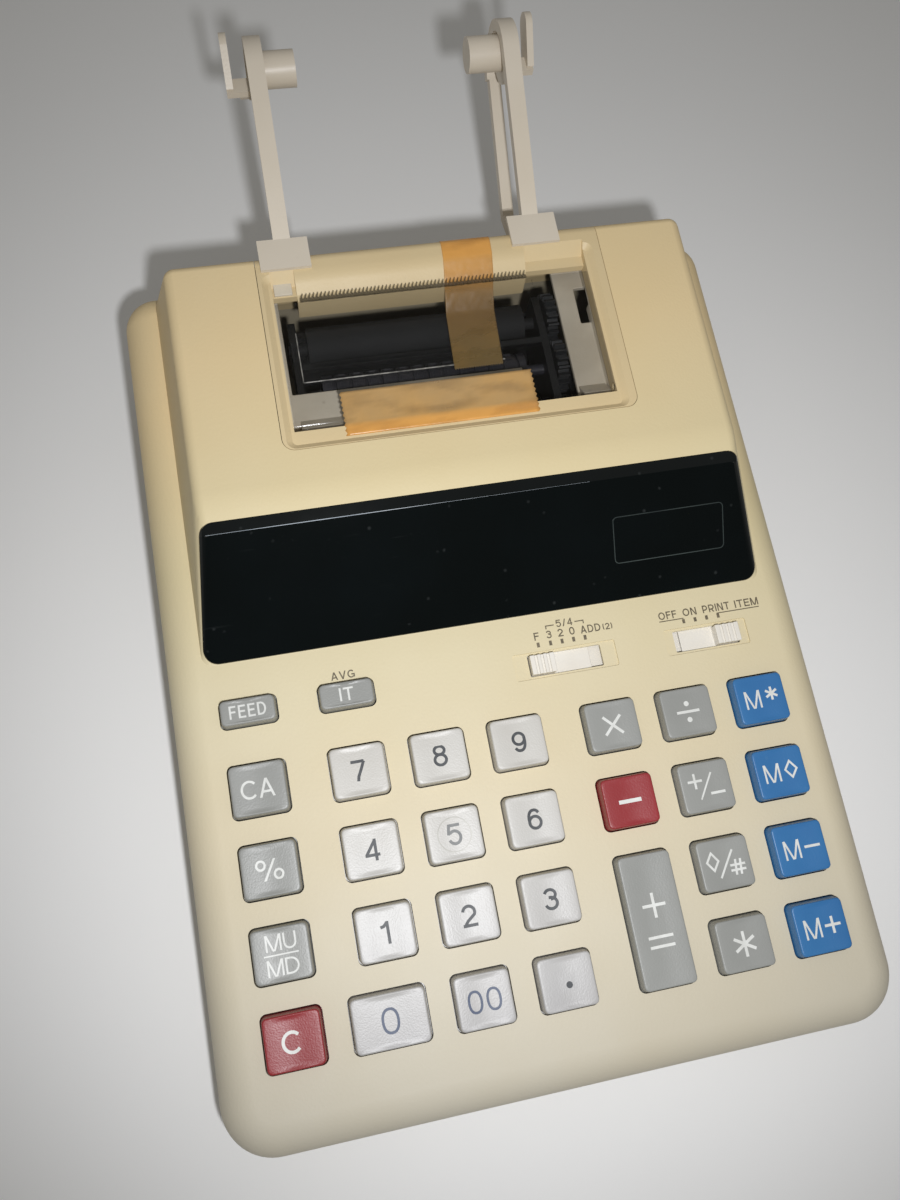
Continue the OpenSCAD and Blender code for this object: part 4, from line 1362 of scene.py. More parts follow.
def rounded_ring(
    width: float, depth: float, radius: float, height: Callable[[float, float], float],
    steps: int = 5, sides: int = 8,
) -> list[Vector]:
    """Gives points round a rectangle with round corners.

    Args:
        width: Width in mm.
        depth: Depth in mm.
        radius: Corner radius.
        height: Gives the height at a point.
        steps: Points on each corner.
        sides: Points added on each side.

    Returns:
        The points, in order.
    """
    corners = [
        (sx * (width / 2 - radius), sy * (depth / 2 - radius), math.radians(start))
        for sx, sy, start in ((1, 1, 0.0), (-1, 1, 90.0), (-1, -1, 180.0), (1, -1, 270.0))
    ]
    flat: list[Pair] = []
    for (cx, cy, start), (nx, ny, end) in zip(corners, corners[1:] + corners[:1]):
        for i in range(steps + 1):
            a = start + math.pi / 2 * i / steps
            flat.append((cx + radius * math.cos(a), cy + radius * math.sin(a)))
        last = flat[-1]
        following = (nx + radius * math.cos(end), ny + radius * math.sin(end))
        for i in range(1, sides + 1):
            t = i / (sides + 1)
            flat.append((last[0] + (following[0] - last[0]) * t, last[1] + (following[1] - last[1]) * t))
    return [Vector((x, y, height(x, y))) for x, y in flat]


@dataclass
class Key:
    """One key: a moulded cap and the print on it."""

    name: str
    x: float
    y: float
    kind: KeyFinish
    marks: Sequence[Mark]
    ink: Finish = PRINT_WHITE
    well_w: float = 14.4
    well_d: float = 13.3
    ringed: bool = False
    gap: float = 0.3
    corner: float = 1.4
    draft: float = 0.32
    edge: float = 0.42
    flange: tuple[float, float] = (1.1, 1.0)
    flange_z: Pair = (-3.6, -2.6)
    stem_r: float = 2.0
    stem_z: Pair = (-6.6, -3.5)
    ring_r: float = 4.05
    ring_w: float = 0.28
    ring_proud: float = 0.06
    edge_steps: int = 4
    crown: tuple[float, ...] = (0.92, 0.8, 0.62, 0.42, 0.2)

    @property
    def width(self) -> float:
        """Width of the cap at its foot."""
        return self.well_w - 2 * self.gap

    @property
    def depth(self) -> float:
        """Depth of the cap at its foot."""
        return self.well_d - 2 * self.gap

    def top(self, x: float, _y: float) -> float:
        """Height of the cap's top at a point from its middle."""
        return KEY_TOP + dish(x, self.width / 2 - self.draft - self.edge - 0.15)

    def cap_mesh(self) -> bmesh.types.BMesh:
        """Lofts the cap, with its flange and stem.

        Returns:
            The mesh.
        """
        w, d, r = self.width, self.depth, self.corner
        shoulder = KEY_TOP - self.edge
        foot = self.flange_z[0]
        rings = [
            rounded_ring(w, d, r, lambda x, y: foot),
            rounded_ring(w, d, r, flat_top),
            rounded_ring(w - 2 * self.draft, d - 2 * self.draft, r, lambda x, y: shoulder),
        ]
        for i in range(1, self.edge_steps + 1):
            a = math.pi / 2 * i / self.edge_steps
            inset = self.draft + self.edge * (1 - math.cos(a))
            z = shoulder + self.edge * math.sin(a)
            radius = max(0.5, r - inset * 0.7)
            rings.append(rounded_ring(w - 2 * inset, d - 2 * inset, radius, lambda x, y, z=z: z))
        full = self.draft + self.edge
        for share in self.crown:
            radius = max(0.15, (r - full * 0.7) * share)
            rings.append(rounded_ring((w - 2 * full) * share, (d - 2 * full) * share, radius, self.top))
        bm = loft(rings)
        half_w, half_d = w / 2 + self.flange[0], d / 2 + self.flange[1]
        add_box(bm, (-half_w, -half_d, foot), (half_w, half_d, self.flange_z[1]))
        low, high = self.stem_z
        stem = bmesh.ops.create_cone(
            bm, segments=24, radius1=self.stem_r, radius2=self.stem_r, depth=high - low, cap_ends=True
        )
        bmesh.ops.translate(bm, vec=(0.0, 0.0, (low + high) / 2), verts=stem["verts"])
        return bm

    def build(self) -> None:
        """Builds the cap and its print and hands them to the key's body."""
        body = f"key_{self.name}_body"
        place = PANEL @ Matrix.Translation((self.x, self.y, 0.0))
        cap = object_from(self.cap_mesh(), f"cap_{self.name}", place, 40.0)
        soften(cap, 0.0)
        finish_piece(cap, self.kind.finish, body, [f"key_{self.name}"])
        legend = print_piece(self.marks, f"legend_{self.name}", place, self.top)
        finish_piece(legend, self.ink, body)
        if self.ringed:
            ring = Line(circle(0.0, 0.0, self.ring_r, 60), self.ring_w)
            worn = print_piece([ring], f"ring_{self.name}", place, self.top, proud=self.ring_proud)
            finish_piece(worn, KEY_RING, body)


@dataclass
class Keyboard:
    """All the keys, laid out on their pitch."""

    left_x: float = -64.2
    digit_x: float = -40.0
    operator_x: float = 24.4
    pitch_x: float = 20.0
    row_y0: float = -28.2
    pitch_y: float = 19.0
    small_y: float = -9.2
    zero_x: float = -42.05

    def column(self, index: int) -> float:
        """Centre of a key column.

        Args:
            index: The column, from the left.

        Returns:
            Its place across, in mm.
        """
        if index == 0:
            return self.left_x
        if index <= 3:
            return self.digit_x + (index - 1) * self.pitch_x
        return self.operator_x + (index - 4) * self.pitch_x

    def row(self, index: float) -> float:
        """Centre of a key row."""
        return self.row_y0 - index * self.pitch_y

    def keys(self) -> list[Key]:
        """Lists every key with its print.

        Returns:
            The keys.
        """
        grey, white, red, blue = KeyFinish.GREY, KeyFinish.WHITE, KeyFinish.RED, KeyFinish.BLUE
        over = [
            Words("MU", 3.7, 7.1, 0.42, 0.2, 2.75, 0.12), Stroke((-4.0, 0.0), (4.0, 0.0), 0.34),
            Words("MD", 3.7, 7.3, 0.42, 0.1, -2.75, 0.12),
        ]
        times = [Stroke((-2.3, -2.3), (2.3, 2.3), 0.7), Stroke((-2.3, 2.3), (2.3, -2.3), 0.7)]
        divide = [Stroke((-3.0, 0.0), (3.0, 0.0), 0.68), Disc(0.0, 2.05, 0.66), Disc(0.0, -2.05, 0.66)]
        plus = [
            Stroke((-2.9, 3.4), (2.9, 3.4), 0.72), Stroke((0.0, 0.5), (0.0, 6.3), 0.72),
            Stroke((-3.1, -3.9), (3.1, -3.9), 0.68), Stroke((-3.1, -6.1), (3.1, -6.1), 0.68),
        ]
        sign = [
            Stroke((-4.6, 1.6), (-0.8, 1.6), 0.6), Stroke((-2.7, -0.3), (-2.7, 3.5), 0.6),
            Stroke((-2.0, -3.0), (1.9, 3.2), 0.42), Stroke((0.8, -1.9), (4.5, -1.9), 0.64),
        ]
        subtotal = [
            Line([(-4.6, 0.9), (-3.1, -1.2), (-1.6, 0.9), (-3.1, 3.0)], 0.52),
            Stroke((-1.8, -3.2), (2.4, 3.0), 0.5),
        ]
        for off in (-0.62, 0.62):
            subtotal.append(Stroke((2.9 + off, -3.1), (2.9 + off + 0.35, 0.6), 0.55))
            subtotal.append(Stroke((1.1, -1.3 + off), (4.9, -1.3 + off), 0.55))
        memory = {
            "total": star(2.9, 0.9, 3.4, 0.6),
            "subtotal": [Line([(1.3, 0.3), (2.8, -1.7), (4.3, 0.3), (2.8, 2.3)], 0.5)],
            "minus": [Stroke((1.0, 0.1), (5.0, 0.1), 0.62)],
            "plus": [Stroke((0.9, 0.1), (4.9, 0.1), 0.64), Stroke((2.9, -1.9), (2.9, 2.1), 0.64)],
        }
        made = [
            Key("feed", self.left_x, self.small_y, grey, [Words("FEED", 3.2, 8.9, 0.46)], well_d=7.4),
            Key("it", self.digit_x, self.small_y, grey, [Words("IT", 3.3, 3.5, 0.48)], well_d=7.4),
        ]
        nought, blank = PRINT_BLUE_GREY, PRINT_WHITE
        for name, column, row, kind, marks, ink in (
            ("ca", 0, 0, grey, [Words("CA", 4.5, 8.0, 0.56, -0.2, 0.0, 0.03)], blank),
            ("percent", 0, 1, grey, [Words("%", 4.9, 6.5, 0.52)], blank),
            ("mumd", 0, 2, grey, over, blank),
            ("c", 0, 3, red, [Words("C", 5.0, 4.8, 0.72, -0.3)], blank),
            ("0", 1, 3, white, [Words("0", 5.8, 4.2, 0.62)], nought),
            ("00", 2, 3, white, [Words("00", 5.2, 8.0, 0.58)], nought),
            ("point", 3, 3, white, [Disc(0.3, -0.6, 0.78)], PRINT_DARK),
            ("times", 4, 0, grey, times, blank),
            ("minus", 4, 1, red, [Stroke((-2.9, 0.0), (2.9, 0.0), 0.95)], blank),
            ("plus", 4, 2.5, grey, plus, blank),
            ("divide", 5, 0, grey, divide, blank),
            ("sign", 5, 1, grey, sign, blank),
            ("subtotal", 5, 2, grey, subtotal, blank),
            ("total", 5, 3, grey, star(0.0, 0.0, 5.9, 0.72), blank),
        ):
            made.append(Key(name, self.column(column), self.row(row), kind, marks, ink))
        for row, (name, marks) in enumerate(memory.items()):
            letter = Words("M", 4.6, 4.3, 0.5, -2.3)
            made.append(Key(f"m_{name}", self.column(6), self.row(row), blue, [letter, *marks]))
        for row, line in enumerate(("789", "456", "123")):
            for column, digit in enumerate(line):
                worn = digit == "5"
                ink = PRINT_WORN if worn else PRINT_DARK
                marks = [Words(digit, 5.1, 0.0, 0.72)]
                x, y = self.column(column + 1), self.row(row)
                made.append(Key(digit, x, y, white, marks, ink, ringed=worn))
        sizes = {"0": {"x": self.zero_x, "well_w": 18.5}, "plus": {"well_d": 32.3}}
        return [replace(key, **sizes.get(key.name, {})) for key in made]

    def build(self) -> None:
        """Builds every key."""
        for key in self.keys():
            key.build()


# ---------- case ----------


@dataclass
class Case:
    """The upper and lower case, the display lens and the print on the panel."""

    plate_x: Pair = (33.9, 63.9)
    plate_y: Pair = (10.3, 22.5)
    plate_corner: float = 1.1
    plate_line: float = 0.22
    fold_y: float = 32.5
    fold_w: float = 0.3
    fold_angle: float = 12.0
    # The painted highlight line along the fold.
    glint_x: float = -67.5
    glint_step: float = 1.6
    glint_count: int = 61
    glint_middle: float = -38.0
    glint_reach: float = 22.0
    glint_fine: float = 0.03
    glint_swell: float = 0.15
    shells: tuple[NodePiece, ...] = (
        NodePiece("upper_case", "case_upper_shell", Body.CASE, CREAM, "case_cream", 0.35, 3),
        NodePiece("lower_case", "case_lower_shell", Body.CASE, LOWER_CREAM, "case_lower", 0.25, convex=True),
    )

    def build(self) -> None:
        """Builds the case's pieces."""
        for shell in self.shells:
            shell.build()
        self._lens()
        self._paint_glint()
        self._plate()
        self._panel_print()

    def _lens(self) -> None:
        """Makes the display lens with the tight fold along its top."""
        bm = clean_node("display_lens")
        bm.transform(LENS.inverted())
        low, high = self.fold_y - self.fold_w / 2, self.fold_y + self.fold_w / 2
        for y in (low, self.fold_y, high):
            cut_across(bm, y)
        slope = math.tan(math.radians(self.fold_angle))
        for v in bm.verts:
            if v.co.y > low and v.co.z > -0.8:
                within = min(v.co.y, high) - low
                past = max(0.0, v.co.y - high)
                v.co.z = -slope * (within * within / (2 * self.fold_w) + past)
        lens = object_from(bm, "display_lens_skin", LENS)
        soften(lens, 0.3, 3)
        finish_piece(lens, LENS_BLACK, Body.CASE.value, ["display_lens"])

    def _plate(self) -> None:
        """Makes the bare moulded plate outline on the lens, lighter than the lens as a painted highlight
        along its step.
        """
        (x0, x1), (y0, y1) = self.plate_x, self.plate_y
        ring = rounded_ring(x1 - x0, y1 - y0, self.plate_corner, flat_top, 4, 2)
        line = Line([(v.x, v.y) for v in ring], self.plate_line)
        middle = LENS @ Matrix.Translation(((x0 + x1) / 2, (y0 + y1) / 2, 0.0))
        piece = print_piece([line], "lens_bare_plate_line", middle, flat_top, 0.3, 0.05)
        finish_piece(piece, LENS_OUTLINE_HIGHLIGHT, Body.CASE.value)

    def _paint_glint(self) -> None:
        """Paints the flash's highlight along the lens's fold as a thin light line, finest at its ends."""
        y = self.fold_y + self.fold_w / 2
        rows = []
        for i in range(self.glint_count):
            x = self.glint_x + self.glint_step * i
            swell = math.exp(-(((x - self.glint_middle) / self.glint_reach) ** 2))
            half = 0.5 * (self.glint_fine + self.glint_swell * swell)
            rows.append(((x, y - half, 0.0), (x, y + half, 0.0)))
        line = print_piece([Sheet(rows)], "lens_fold_painted_line", LENS, lambda x, y: -0.03, 0.1, 0.035)
        finish_piece(line, LENS_PAINTED_GLINT, Body.CASE.value)

    def _panel_print(self) -> None:
        """Prints the switch scales and the small heading."""
        height, weight = 2.05, 0.33
        marks: list[Mark] = [Words("AVG", height, 6.0, weight, -40.1, -3.9)]
        for x, mark in ((10.5, "F"), (13.8, "3"), (16.9, "2"), (20.0, "0")):
            marks.append(Words(mark, height, 0.0, weight, x, -2.2))
        marks.append(Words("ADD", height, 5.4, weight, 25.0, -2.35))
        marks.append(Words("(2)", 1.7, 2.6, 0.28, 29.6, -2.5))
        marks.append(Words("5/4", 1.95, 4.4, 0.3, 18.4, 0.3))
        for places, top in (((10.5, 13.8, 16.9, 20.0, 23.1), -3.85), ((50.2, 53.4, 56.6, 59.85), -3.95)):
            marks.extend(Stroke((x, top), (x, -5.1), 0.75, 1) for x in places)
        for x0, x1, end in ((13.4, 15.6, 13.4), (21.2, 23.5, 23.5)):
            marks.append(Stroke((x0, 0.1), (x1, 0.1), 0.3, 1))
            marks.append(Stroke((end, 0.25), (end, -0.75), 0.3, 1))
        heads = ((46.2, "OFF", 5.0), (52.35, "ON", 3.8), (59.8, "PRINT", 7.6), (68.4, "ITEM", 6.6))
        for x, text, width in heads:
            marks.append(Words(text, height, width, weight, x, -2.25))
        for x0, x1, y in ((43.6, 50.35, -3.72), (59.6, 71.6, -3.82)):
            marks.append(Stroke((x0, y), (x1, y), 0.26, 1))
        piece = print_piece(marks, "panel_print", PANEL, flat_top, 0.06, 0.015)
        finish_piece(piece, PRINT_BROWN, Body.CASE.value)


# ---------- printer ----------


@dataclass
class Printer:
    """The cover, flap, tear edge and mechanism."""

    tear_x: Pair = (-36.5, 24.5)
    tear_y: float = 91.2
    pitch: float = 1.0
    window_top: float = 17.6
    window_rear: float = 90.6
    tooth: tuple[Pair, ...] = (
        (0.0, -0.7), (0.99, -0.7), (0.99, 0.0), (0.56, 0.12),
        (0.95, 1.5), (0.74, 1.5), (0.06, 0.12), (0.0, 0.0),
    )
    tooth_z: Pair = (-0.7, 0.02)
    ramp: tuple[Pair, ...] = (
        (53.9, 10.0), (53.9, 13.4), (57.4, 13.4), (61.0, 10.02), (61.0, 9.9), (53.9, 9.9),
    )
    ramp_x: tuple[Pair, ...] = ((-40.6, 19.2), (33.6, 41.0))
    drum_y: float = 70.5
    drum_z: float = 3.4
    drum_rings: int = 12
    drum_step: float = 4.1
    drum_types: int = 14
    drum_start: float = 8.5
    type_low: tuple[float, float, float] = (-0.8, -0.55, 4.9)
    type_high: tuple[float, float, float] = (0.8, 0.55, 5.18)
    jitter: float = 0.12
    margin: float = 0.6
    cover: NodePiece = NodePiece(
        "printer_cover", "printer_cover_panel", Body.CASE, COVER_CREAM, "case_cream", 0.22, 3
    )
    tray: NodePiece = NodePiece(
        "printer_tray", "printer_deck", Body.CASE, TRAY_BEIGE, "tray_plastic", 0.3, convex=True
    )
    stop: BoxPiece = BoxPiece(
        "window_stop", Body.CASE, TRAY_BEIGE, "case_cream", 0.15, [((-42.2, 93.5, 15.6), (-37.5, 96.9, 16.5))]
    )
    guard: NodePiece = NodePiece("ink_guard", "ink_guard_flap", Body.CASE, GUARD_CLEAR, "smoked_clear", 0.15)
    # Thin light boxes that paint the highlight along the guard's front and left edges.
    guard_highlight: BoxPiece = BoxPiece(
        "ink_guard_painted_highlight", Body.CASE, GUARD_PAINTED_HIGHLIGHT, "smoked_clear", 0.06,
        [((-38.2, 71.15, 10.45), (15.4, 71.45, 10.68)), ((-38.35, 71.3, 10.45), (-38.1, 85.6, 10.64))],
    )
    drum: NodePiece = NodePiece("print_drum", "drum_core", Body.DRUM, TYPE_GREY, "drum_plastic", 0.08)

    def build(self) -> None:
        """Builds the printer's pieces."""
        self.cover.build()
        self._window()
        self.tray.build()
        self._ramps()
        self.stop.build()
        self.guard.build()
        self.guard_highlight.build()
        for node, name, body, finish, slot in (
            ("printer_frame", "printer_chassis", Body.CASE, MECH_BLACK, "frame_black"),
            ("platen_roller", "platen_rubber", Body.PLATEN, ROLLER_RUBBER, "roller_rubber"),
            ("ink_roller", "ink_roll", Body.INKER, INK_BLUE, "ink_foam"),
            ("printer_motor", "motor_can", Body.CASE, BRIGHT_STEEL, "steel"),
            ("platen_gear", "platen_wheel", Body.PLATEN, GEAR_DARK, "gear_plastic"),
            ("drum_gear", "drum_wheel", Body.DRUM, GEAR_DARK, "gear_plastic"),
            ("motor_pinion", "motor_wheel", Body.PINION, BRIGHT_STEEL, "steel"),
        ):
            NodePiece(node, name, body, finish, slot, 0.1, convex=True).build()
        self.drum.build()
        self._type()

    def _window(self) -> None:
        """Makes the smoked flap and its saw-tooth tear edge."""
        bm = clean_node("cover_window")
        bm.transform(PANEL.inverted())
        bmesh.ops.holes_fill(bm, edges=cut_across(bm, self.window_rear, clear=True), sides=0)
        pane = object_from(bm, "window_pane")
        soften(pane, 0.18)
        finish_piece(pane, SMOKED, Body.WINDOW.value, ["cover_window"])
        left, right = self.tear_x
        count = int((right - left - self.margin) / self.pitch)
        start = (left + right) / 2 - count * self.pitch / 2
        tooth = loft([[Vector((x, y, z)) for x, y in self.tooth] for z in self.tooth_z])
        teeth = object_from(tooth, "tear_teeth", Matrix.Identity(4), 20.0)
        REPEAT.run(teeth, TEAR_CLEAR, count, (self.pitch, 0.0, 0.0), jitter=self.jitter, seed=11)
        teeth.data.transform(PANEL @ Matrix.Translation((start, self.tear_y, self.window_top)))
        finish_piece(teeth, TEAR_CLEAR, Body.WINDOW.value)

    def _ramps(self) -> None:
        """Makes the two ramps at the deck's front."""
        bm = bmesh.new()
        for ends in self.ramp_x:
            join_into(bm, loft([[Vector((x, y, z)) for y, z in self.ramp] for x in ends]))
        ramps = object_from(bm, "deck_front_ramps")
        soften(ramps, 0.2)
        finish_piece(ramps, TRAY_BEIGE, Body.CASE.value)

    def _type(self) -> None:
        """Makes the drum's rings of raised type."""
        bm = bmesh.new()
        add_box(bm, self.type_low, self.type_high)
        bits = object_from(bm, "drum_type", Matrix.Identity(4))
        soften(bits, 0.08)
        REPEAT.run(bits, TYPE_GREY, self.drum_types, turn=2 * math.pi / self.drum_types)
        REPEAT.run(bits, TYPE_GREY, self.drum_rings, (self.drum_step, 0.0, 0.0))
        first = (self.tear_x[0] + self.drum_start, self.drum_y, self.drum_z)
        bits.data.transform(PANEL @ Matrix.Translation(first))
        finish_piece(bits, TYPE_GREY, Body.DRUM.value)


# ---------- arms, switches, fittings ----------


@dataclass
class PaperArms:
    """The two clip-on arms that hold the paper roll."""

    edge: float = 0.3
    sharp: float = 12.0

    def build(self) -> None:
        """Builds both arms."""
        for node, body in (("left_paper_arm", Body.LEFT_ARM), ("right_paper_arm", Body.RIGHT_ARM)):
            name = f"{body.value}_moulding"
            NodePiece(node, name, body, ARM_CREAM, "arm_plastic", self.edge, 3, self.sharp, True).build()


@dataclass
class Switches:
    """The knobs of the two slide switches, each with a shutter that keeps its slot shut."""

    row_y: float = -9.6
    half_depth: float = 3.4
    thick: float = 0.3
    decimal_shutter: tuple[float, float, float] = (-5.8, 27.0, -2.75)
    mode_shutter: tuple[float, float, float] = (46.0, 74.6, -3.1)

    def build(self) -> None:
        """Builds both knobs and their shutters."""
        front, rear = self.row_y - self.half_depth, self.row_y + self.half_depth
        for (x0, x1, z), body in ((self.decimal_shutter, Body.DECIMAL), (self.mode_shutter, Body.MODE)):
            boxes = [((x0, front, z), (x1, rear, z + self.thick))]
            BoxPiece(f"{body.value}_shutter", body, SWITCH_WHITE, "slider_plastic", 0.05, boxes).build()
        for node, body in (("decimal_slider", Body.DECIMAL), ("mode_slider", Body.MODE)):
            NodePiece(node, f"{body.value}_knob", body, SWITCH_WHITE, "slider_plastic", 0.2, 3).build()


@dataclass
class Fittings:
    """Feet, screws, battery parts, boards and the inlet."""

    def build(self) -> None:
        """Builds the small fittings."""
        for node, name, body, finish, slot, edge in (
            ("battery_cover", "battery_lid_panel", Body.BATTERY_LID, LOWER_CREAM, "case_lower", 0.25),
            ("battery_contacts", "battery_springs", Body.CASE, BRIGHT_STEEL, "steel", 0.05),
            ("adaptor_inlet", "inlet_socket", Body.CASE, MECH_BLACK, "frame_black", 0.2),
            ("feet", "rubber_feet", Body.CASE, FOOT_RUBBER, "foot_rubber", 0.4),
            ("case_screws", "case_screw_set", Body.CASE, BRIGHT_STEEL, "steel", 0.12),
            ("main_board", "logic_board", Body.CASE, BOARD_GREEN, "board_green", 0.1),
            ("key_mat", "dome_mat", Body.CASE, MAT_GREY, "mat_rubber", 0.2),
            ("switch_bodies", "switch_boxes", Body.CASE, MECH_BLACK, "frame_black", 0.1),
            ("display_module", "display_tube", Body.CASE, DISPLAY_GLASS, "display_pcb", 0.2),
        ):
            NodePiece(node, name, body, finish, slot, edge, convex=True).build()


# ---------- tapes ----------


@dataclass
class Tape:
    """A strip of adhesive tape laid over the case, with torn zigzag ends."""

    name: str
    path: Sequence[Pair]
    x0: float
    x1: float
    lean: float = 0.0
    pivot: float = 0.0
    thick: float = 0.12
    ragged_ends: bool = True
    ragged_sides: bool = False
    wave: float = 0.06
    seed: float = 0.0
    bright: Sequence[Pair] = ((0.0, 1.0),)
    cling: float = 0.0
    across: int = 40
    step: float = 0.7
    end_tooth: float = 0.25
    side_tooth: float = 0.22

    def _bright(self, s: float) -> float:
        """Gives the share of the bright tint at a distance along the path.

        Args:
            s: The distance.

        Returns:
            The share, 0 to 1.
        """
        for (s0, v0), (s1, v1) in zip(self.bright, self.bright[1:]):
            if s <= s1:
                return v0 + (v1 - v0) * max(0.0, s - s0) / (s1 - s0)
        return self.bright[-1][1]

    def _touch(self, x: float, s: float) -> float:
        """Gives how closely the strip lies on what is under it.

        Args:
            x: Place across.
            s: Distance along the path.

        Returns:
            0 where it stands off, 1 where it touches.
        """
        broad = noise.noise(Vector((x * 0.09, s * 0.3, self.seed)))
        fine = noise.noise(Vector((x * 0.35, s * 1.1, self.seed + 9.0)))
        held = self.cling * (1.0 - self._bright(s))
        return min(1.0, max(0.0, (broad + 0.25 * fine + 0.06) * 1.7 * (1.0 - held)) + held)

    def _point(self, distance: float) -> tuple[Vector, Vector]:
        """Gives the place and outward normal at a distance along the path.

        Args:
            distance: The distance.

        Returns:
            The place and the normal.
        """
        left = distance
        for a, b in zip(self.path, self.path[1:]):
            start, end = Vector(a), Vector(b)
            length = (end - start).length
            if left <= length or b == self.path[-1]:
                way = (end - start).normalized()
                return start + way * left, Vector((-way.y, way.x))
            left -= length
        raise ValueError("empty path")

    def _swell(self, x: float, s: float) -> float:
        """Gives how far the strip stands off at a place.

        Args:
            x: Place across.
            s: Distance along the path.

        Returns:
            The height, at least 0.
        """
        long_wave = math.sin(x * 0.9 + s * 0.35 + self.seed) * math.sin(s * 0.8 + self.seed * 2)
        return max(0.0, self.wave * (long_wave + 0.6 * math.sin(x * 2.3 - s * 1.7 + self.seed)))

    def build(self) -> bpy.types.Object:
        """Builds the strip.

        Returns:
            The strip, with its place in its mesh.
        """
        total = sum((Vector(b) - Vector(a)).length for a, b in zip(self.path, self.path[1:]))
        along = max(12, int(total / self.step))
        bm = bmesh.new()
        tint = bm.verts.layers.float.new("tint")
        touch = bm.verts.layers.float.new("touch")
        rows = []
        for i in range(along + 1):
            row = []
            for j in range(self.across + 1):
                s = i / along * total
                x = self.x0 + (self.x1 - self.x0) * (j / self.across)
                if self.ragged_ends and i in (0, along):
                    tooth = self.end_tooth
                    s += (tooth if j % 2 else -tooth) * (1 if i else -1) - (tooth if i else -tooth)
                if self.ragged_sides and j in (0, self.across):
                    tooth = self.side_tooth
                    x += (tooth if i % 2 else -tooth) - (tooth if j else -tooth)
                place, normal = self._point(min(max(s, 0.0), total))
                x += (place.x - self.pivot) * self.lean
                spot = place + normal * (self.thick * 0.5 + self._swell(x, s))
                made = bm.verts.new((x, spot.x, spot.y))
                made[tint] = self._bright(s)
                made[touch] = self._touch(x, s)
                row.append(made)
            rows.append(row)
        for low, high in zip(rows, rows[1:]):
            for j in range(self.across):
                bm.faces.new((low[j], low[j + 1], high[j + 1], high[j]))
        strip = object_from(bm, self.name, PANEL, 60.0)
        solid = strip.modifiers.new("thickness", "SOLIDIFY")
        solid.thickness = self.thick * MM
        solid.offset = 0.0
        apply_modifiers(strip)
        return strip


@dataclass
class Tapes:
    """The two strips left on the printer."""

    rear_x: Pair = (2.55, 15.75)
    rear_lean: float = 2.5
    front_x: Pair = (-30.3, 19.7)
    corner: Pair = (101.0, 16.0)
    corner_r: float = 3.06
    bend_z: float = 17.7
    bend_y: Pair = (54.4, 58.4)

    def build(self) -> None:
        """Builds both strips."""
        self._rear()
        self._front()

    def _rear(self) -> None:
        """Lays the strip that goes over the rear edge and down under the window."""
        (y, z), r = self.corner, self.corner_r
        angles = [math.radians(a) for a in range(80, -1, -10)]
        rear = Tape(
            "rear_tape_strip",
            [(69.5, 11.0), (76.0, 10.76), (86.0, 10.76), (90.6, 13.8), (91.5, 14.78), (92.9, 16.58),
             (97.5, 19.06), (101.0, 19.07), *((y + r * math.cos(a), z + r * math.sin(a)) for a in angles),
             (104.1, 14.1)],
            *self.rear_x, math.tan(math.radians(self.rear_lean)), 97.5, wave=0.03, seed=0.7,
            bright=((0.0, 0.0), (21.0, 0.1), (25.0, 0.6), (30.0, 0.6), (31.5, 1.0), (60.0, 1.0)), cling=0.7,
        ).build()
        finish_piece(rear, TAPE_ORANGE, Body.CASE.value, ["rear_tape"])

    def _front(self) -> None:
        """Lays the strip over the window's hinge, where it bends."""
        front = Tape(
            "front_tape_strip",
            [(51.9, 17.86), (54.6, 17.86), (55.8, 17.72), (57.2, 17.65), (63.9, 17.65)],
            *self.front_x, ragged_ends=False, ragged_sides=True, wave=0.02, seed=2.1,
            bright=((0.0, 1.0), (2.6, 0.8), (3.3, 0.0), (60.0, 0.0)),
        ).build()
        front.data.materials.clear()
        front.data.materials.append(TAPE_ORANGE.material())
        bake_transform(front)
        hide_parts("front_tape_frame", "front_tape_window")
        LOG.info("front_tape_strip bends between the case and the window")


# ---------- studio ----------


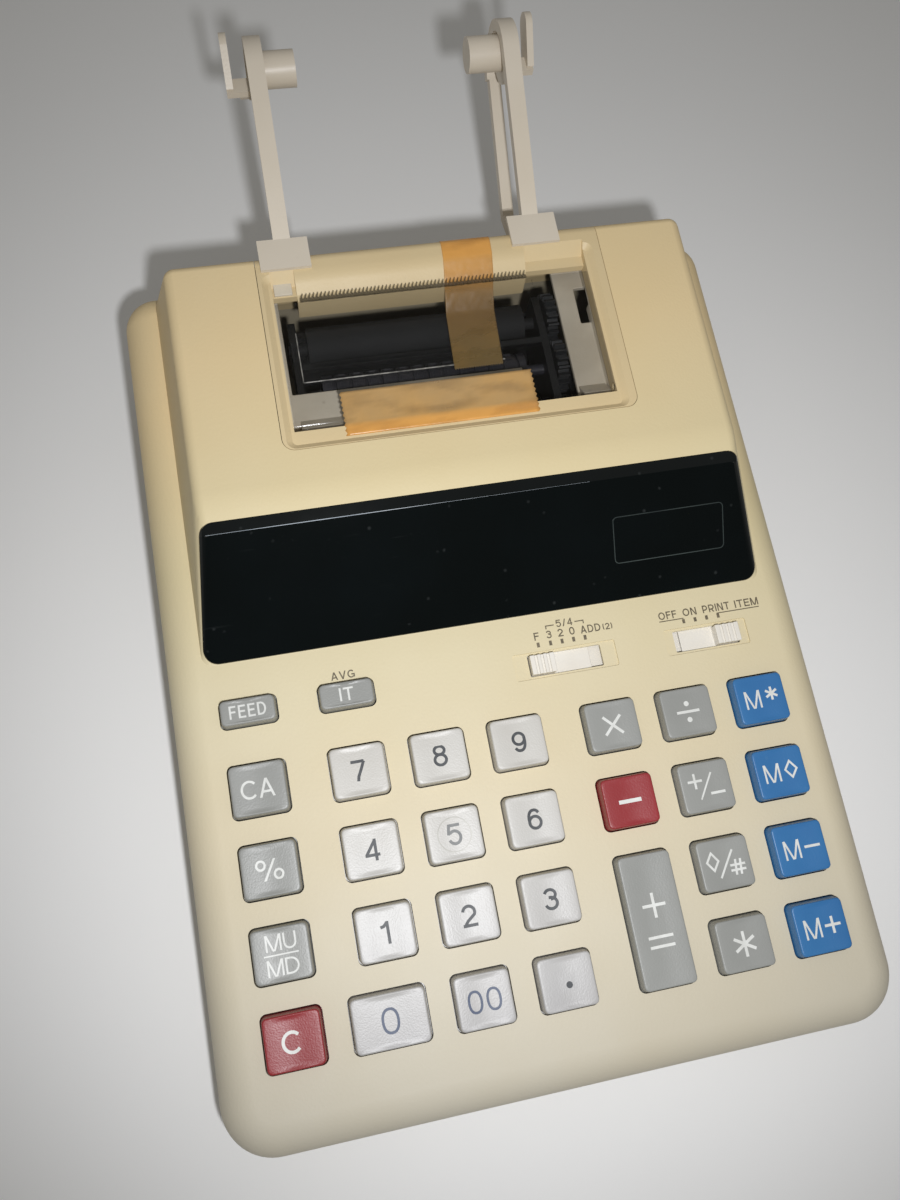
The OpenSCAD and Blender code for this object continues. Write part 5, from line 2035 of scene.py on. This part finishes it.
@dataclass
class Studio:
    """Floor, light and camera."""

    eye: tuple[float, float, float] = (-0.0472, -0.098285, 0.2748)
    right: tuple[float, float, float] = (0.97748, -0.19377, 0.08361)
    down: tuple[float, float, float] = (-0.15254, -0.92252, -0.35454)
    ahead: tuple[float, float, float] = (0.14583, 0.33380, -0.93130)
    lens: float = 29.75
    floor_reach: float = 3.0
    flash_at: tuple[float, float, float] = (-0.029, -0.137, 0.284)
    flash_aim: tuple[float, float, float] = (0.022, 0.004, 0.0)
    flash_power: float = 2.85
    flash_colour: Colour = (0.965, 0.972, 1.0)
    flash_radius: float = 0.007
    flash_spread: float = math.radians(97.0)
    ambient: float = 0.225
    surround: Colour = (1.0, 0.98, 0.935)
    mirror_y: Pair = (-0.62, 0.15)
    mirror_light: Pair = (0.03, 0.34)

    def build(self) -> None:
        """Builds the studio."""
        self._floor()
        self._world()
        self._flash()
        self._camera()

    def _floor(self) -> None:
        """Lays the pale floor."""
        bm = bmesh.new()
        r = self.floor_reach
        bm.faces.new([bm.verts.new(p) for p in ((-r, -r, 0.0), (r, -r, 0.0), (r, r, 0.0), (-r, r, 0.0))])
        floor = object_from(bm, "floor", Matrix.Identity(4))
        floor.data.materials.append(FLOOR_PALE.material())

    def _world(self) -> None:
        """Sets a pale surround that mirrors show darker, most of all in front."""
        world = bpy.data.worlds.new("surround")
        world.use_nodes = True
        tree = world.node_tree
        place = tree.nodes.new("ShaderNodeTexCoord").outputs["Object"]
        along = add_node(tree, "ShaderNodeSeparateXYZ", {0: place}).outputs["Y"]
        mirrored = change_range(tree, along, self.mirror_y, self.mirror_light, "SMOOTHSTEP")
        path = tree.nodes.new("ShaderNodeLightPath")
        feeds = {0: path.outputs["Is Glossy Ray"], 2: self.ambient, 3: mirrored}
        strength = add_node(tree, "ShaderNodeMix", feeds, data_type="FLOAT").outputs[0]
        back = tree.nodes["Background"]
        feed_node(back, {"Strength": strength, "Color": (*self.surround, 1.0)})
        bpy.context.scene.world = world

    def _flash(self) -> None:
        """Hangs the small lamp beside the camera."""
        light = bpy.data.lights.new("flash", "SPOT")
        light.energy = self.flash_power
        light.color = self.flash_colour
        light.shadow_soft_size = self.flash_radius
        light.spot_size = self.flash_spread
        light.spot_blend = 1.0
        lamp = bpy.data.objects.new("flash", light)
        lamp.location = self.flash_at
        lamp.rotation_mode = "QUATERNION"
        way = Vector(self.flash_aim) - Vector(self.flash_at)
        lamp.rotation_quaternion = way.to_track_quat("-Z", "Y")
        bpy.context.scene.collection.objects.link(lamp)

    def _camera(self) -> None:
        """Sets the camera at its place and angle."""
        data = bpy.data.cameras.new("camera")
        data.lens = self.lens
        data.sensor_width = 36.0
        data.sensor_fit = "AUTO"
        data.clip_start = 0.005
        camera = bpy.data.objects.new("camera", data)
        x, y, z = Vector(self.right), -Vector(self.down), -Vector(self.ahead)
        turn = Matrix((x, y, z)).transposed().to_4x4()
        camera.matrix_world = Matrix.Translation(self.eye) @ turn
        bpy.context.scene.collection.objects.link(camera)
        bpy.context.scene.camera = camera
        bpy.context.scene.view_settings.view_transform = "Standard"


def main() -> None:
    """Builds the calculator, then its studio."""
    logging.basicConfig(level=logging.INFO, format="%(name)s %(message)s")
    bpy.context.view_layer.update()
    for part in (Case(), Keyboard(), Printer(), PaperArms(), Switches(), Fittings(), Tapes(), Studio()):
        part.build()
        LOG.info("%s built", type(part).__name__)


if __name__ == "__main__":
    main()
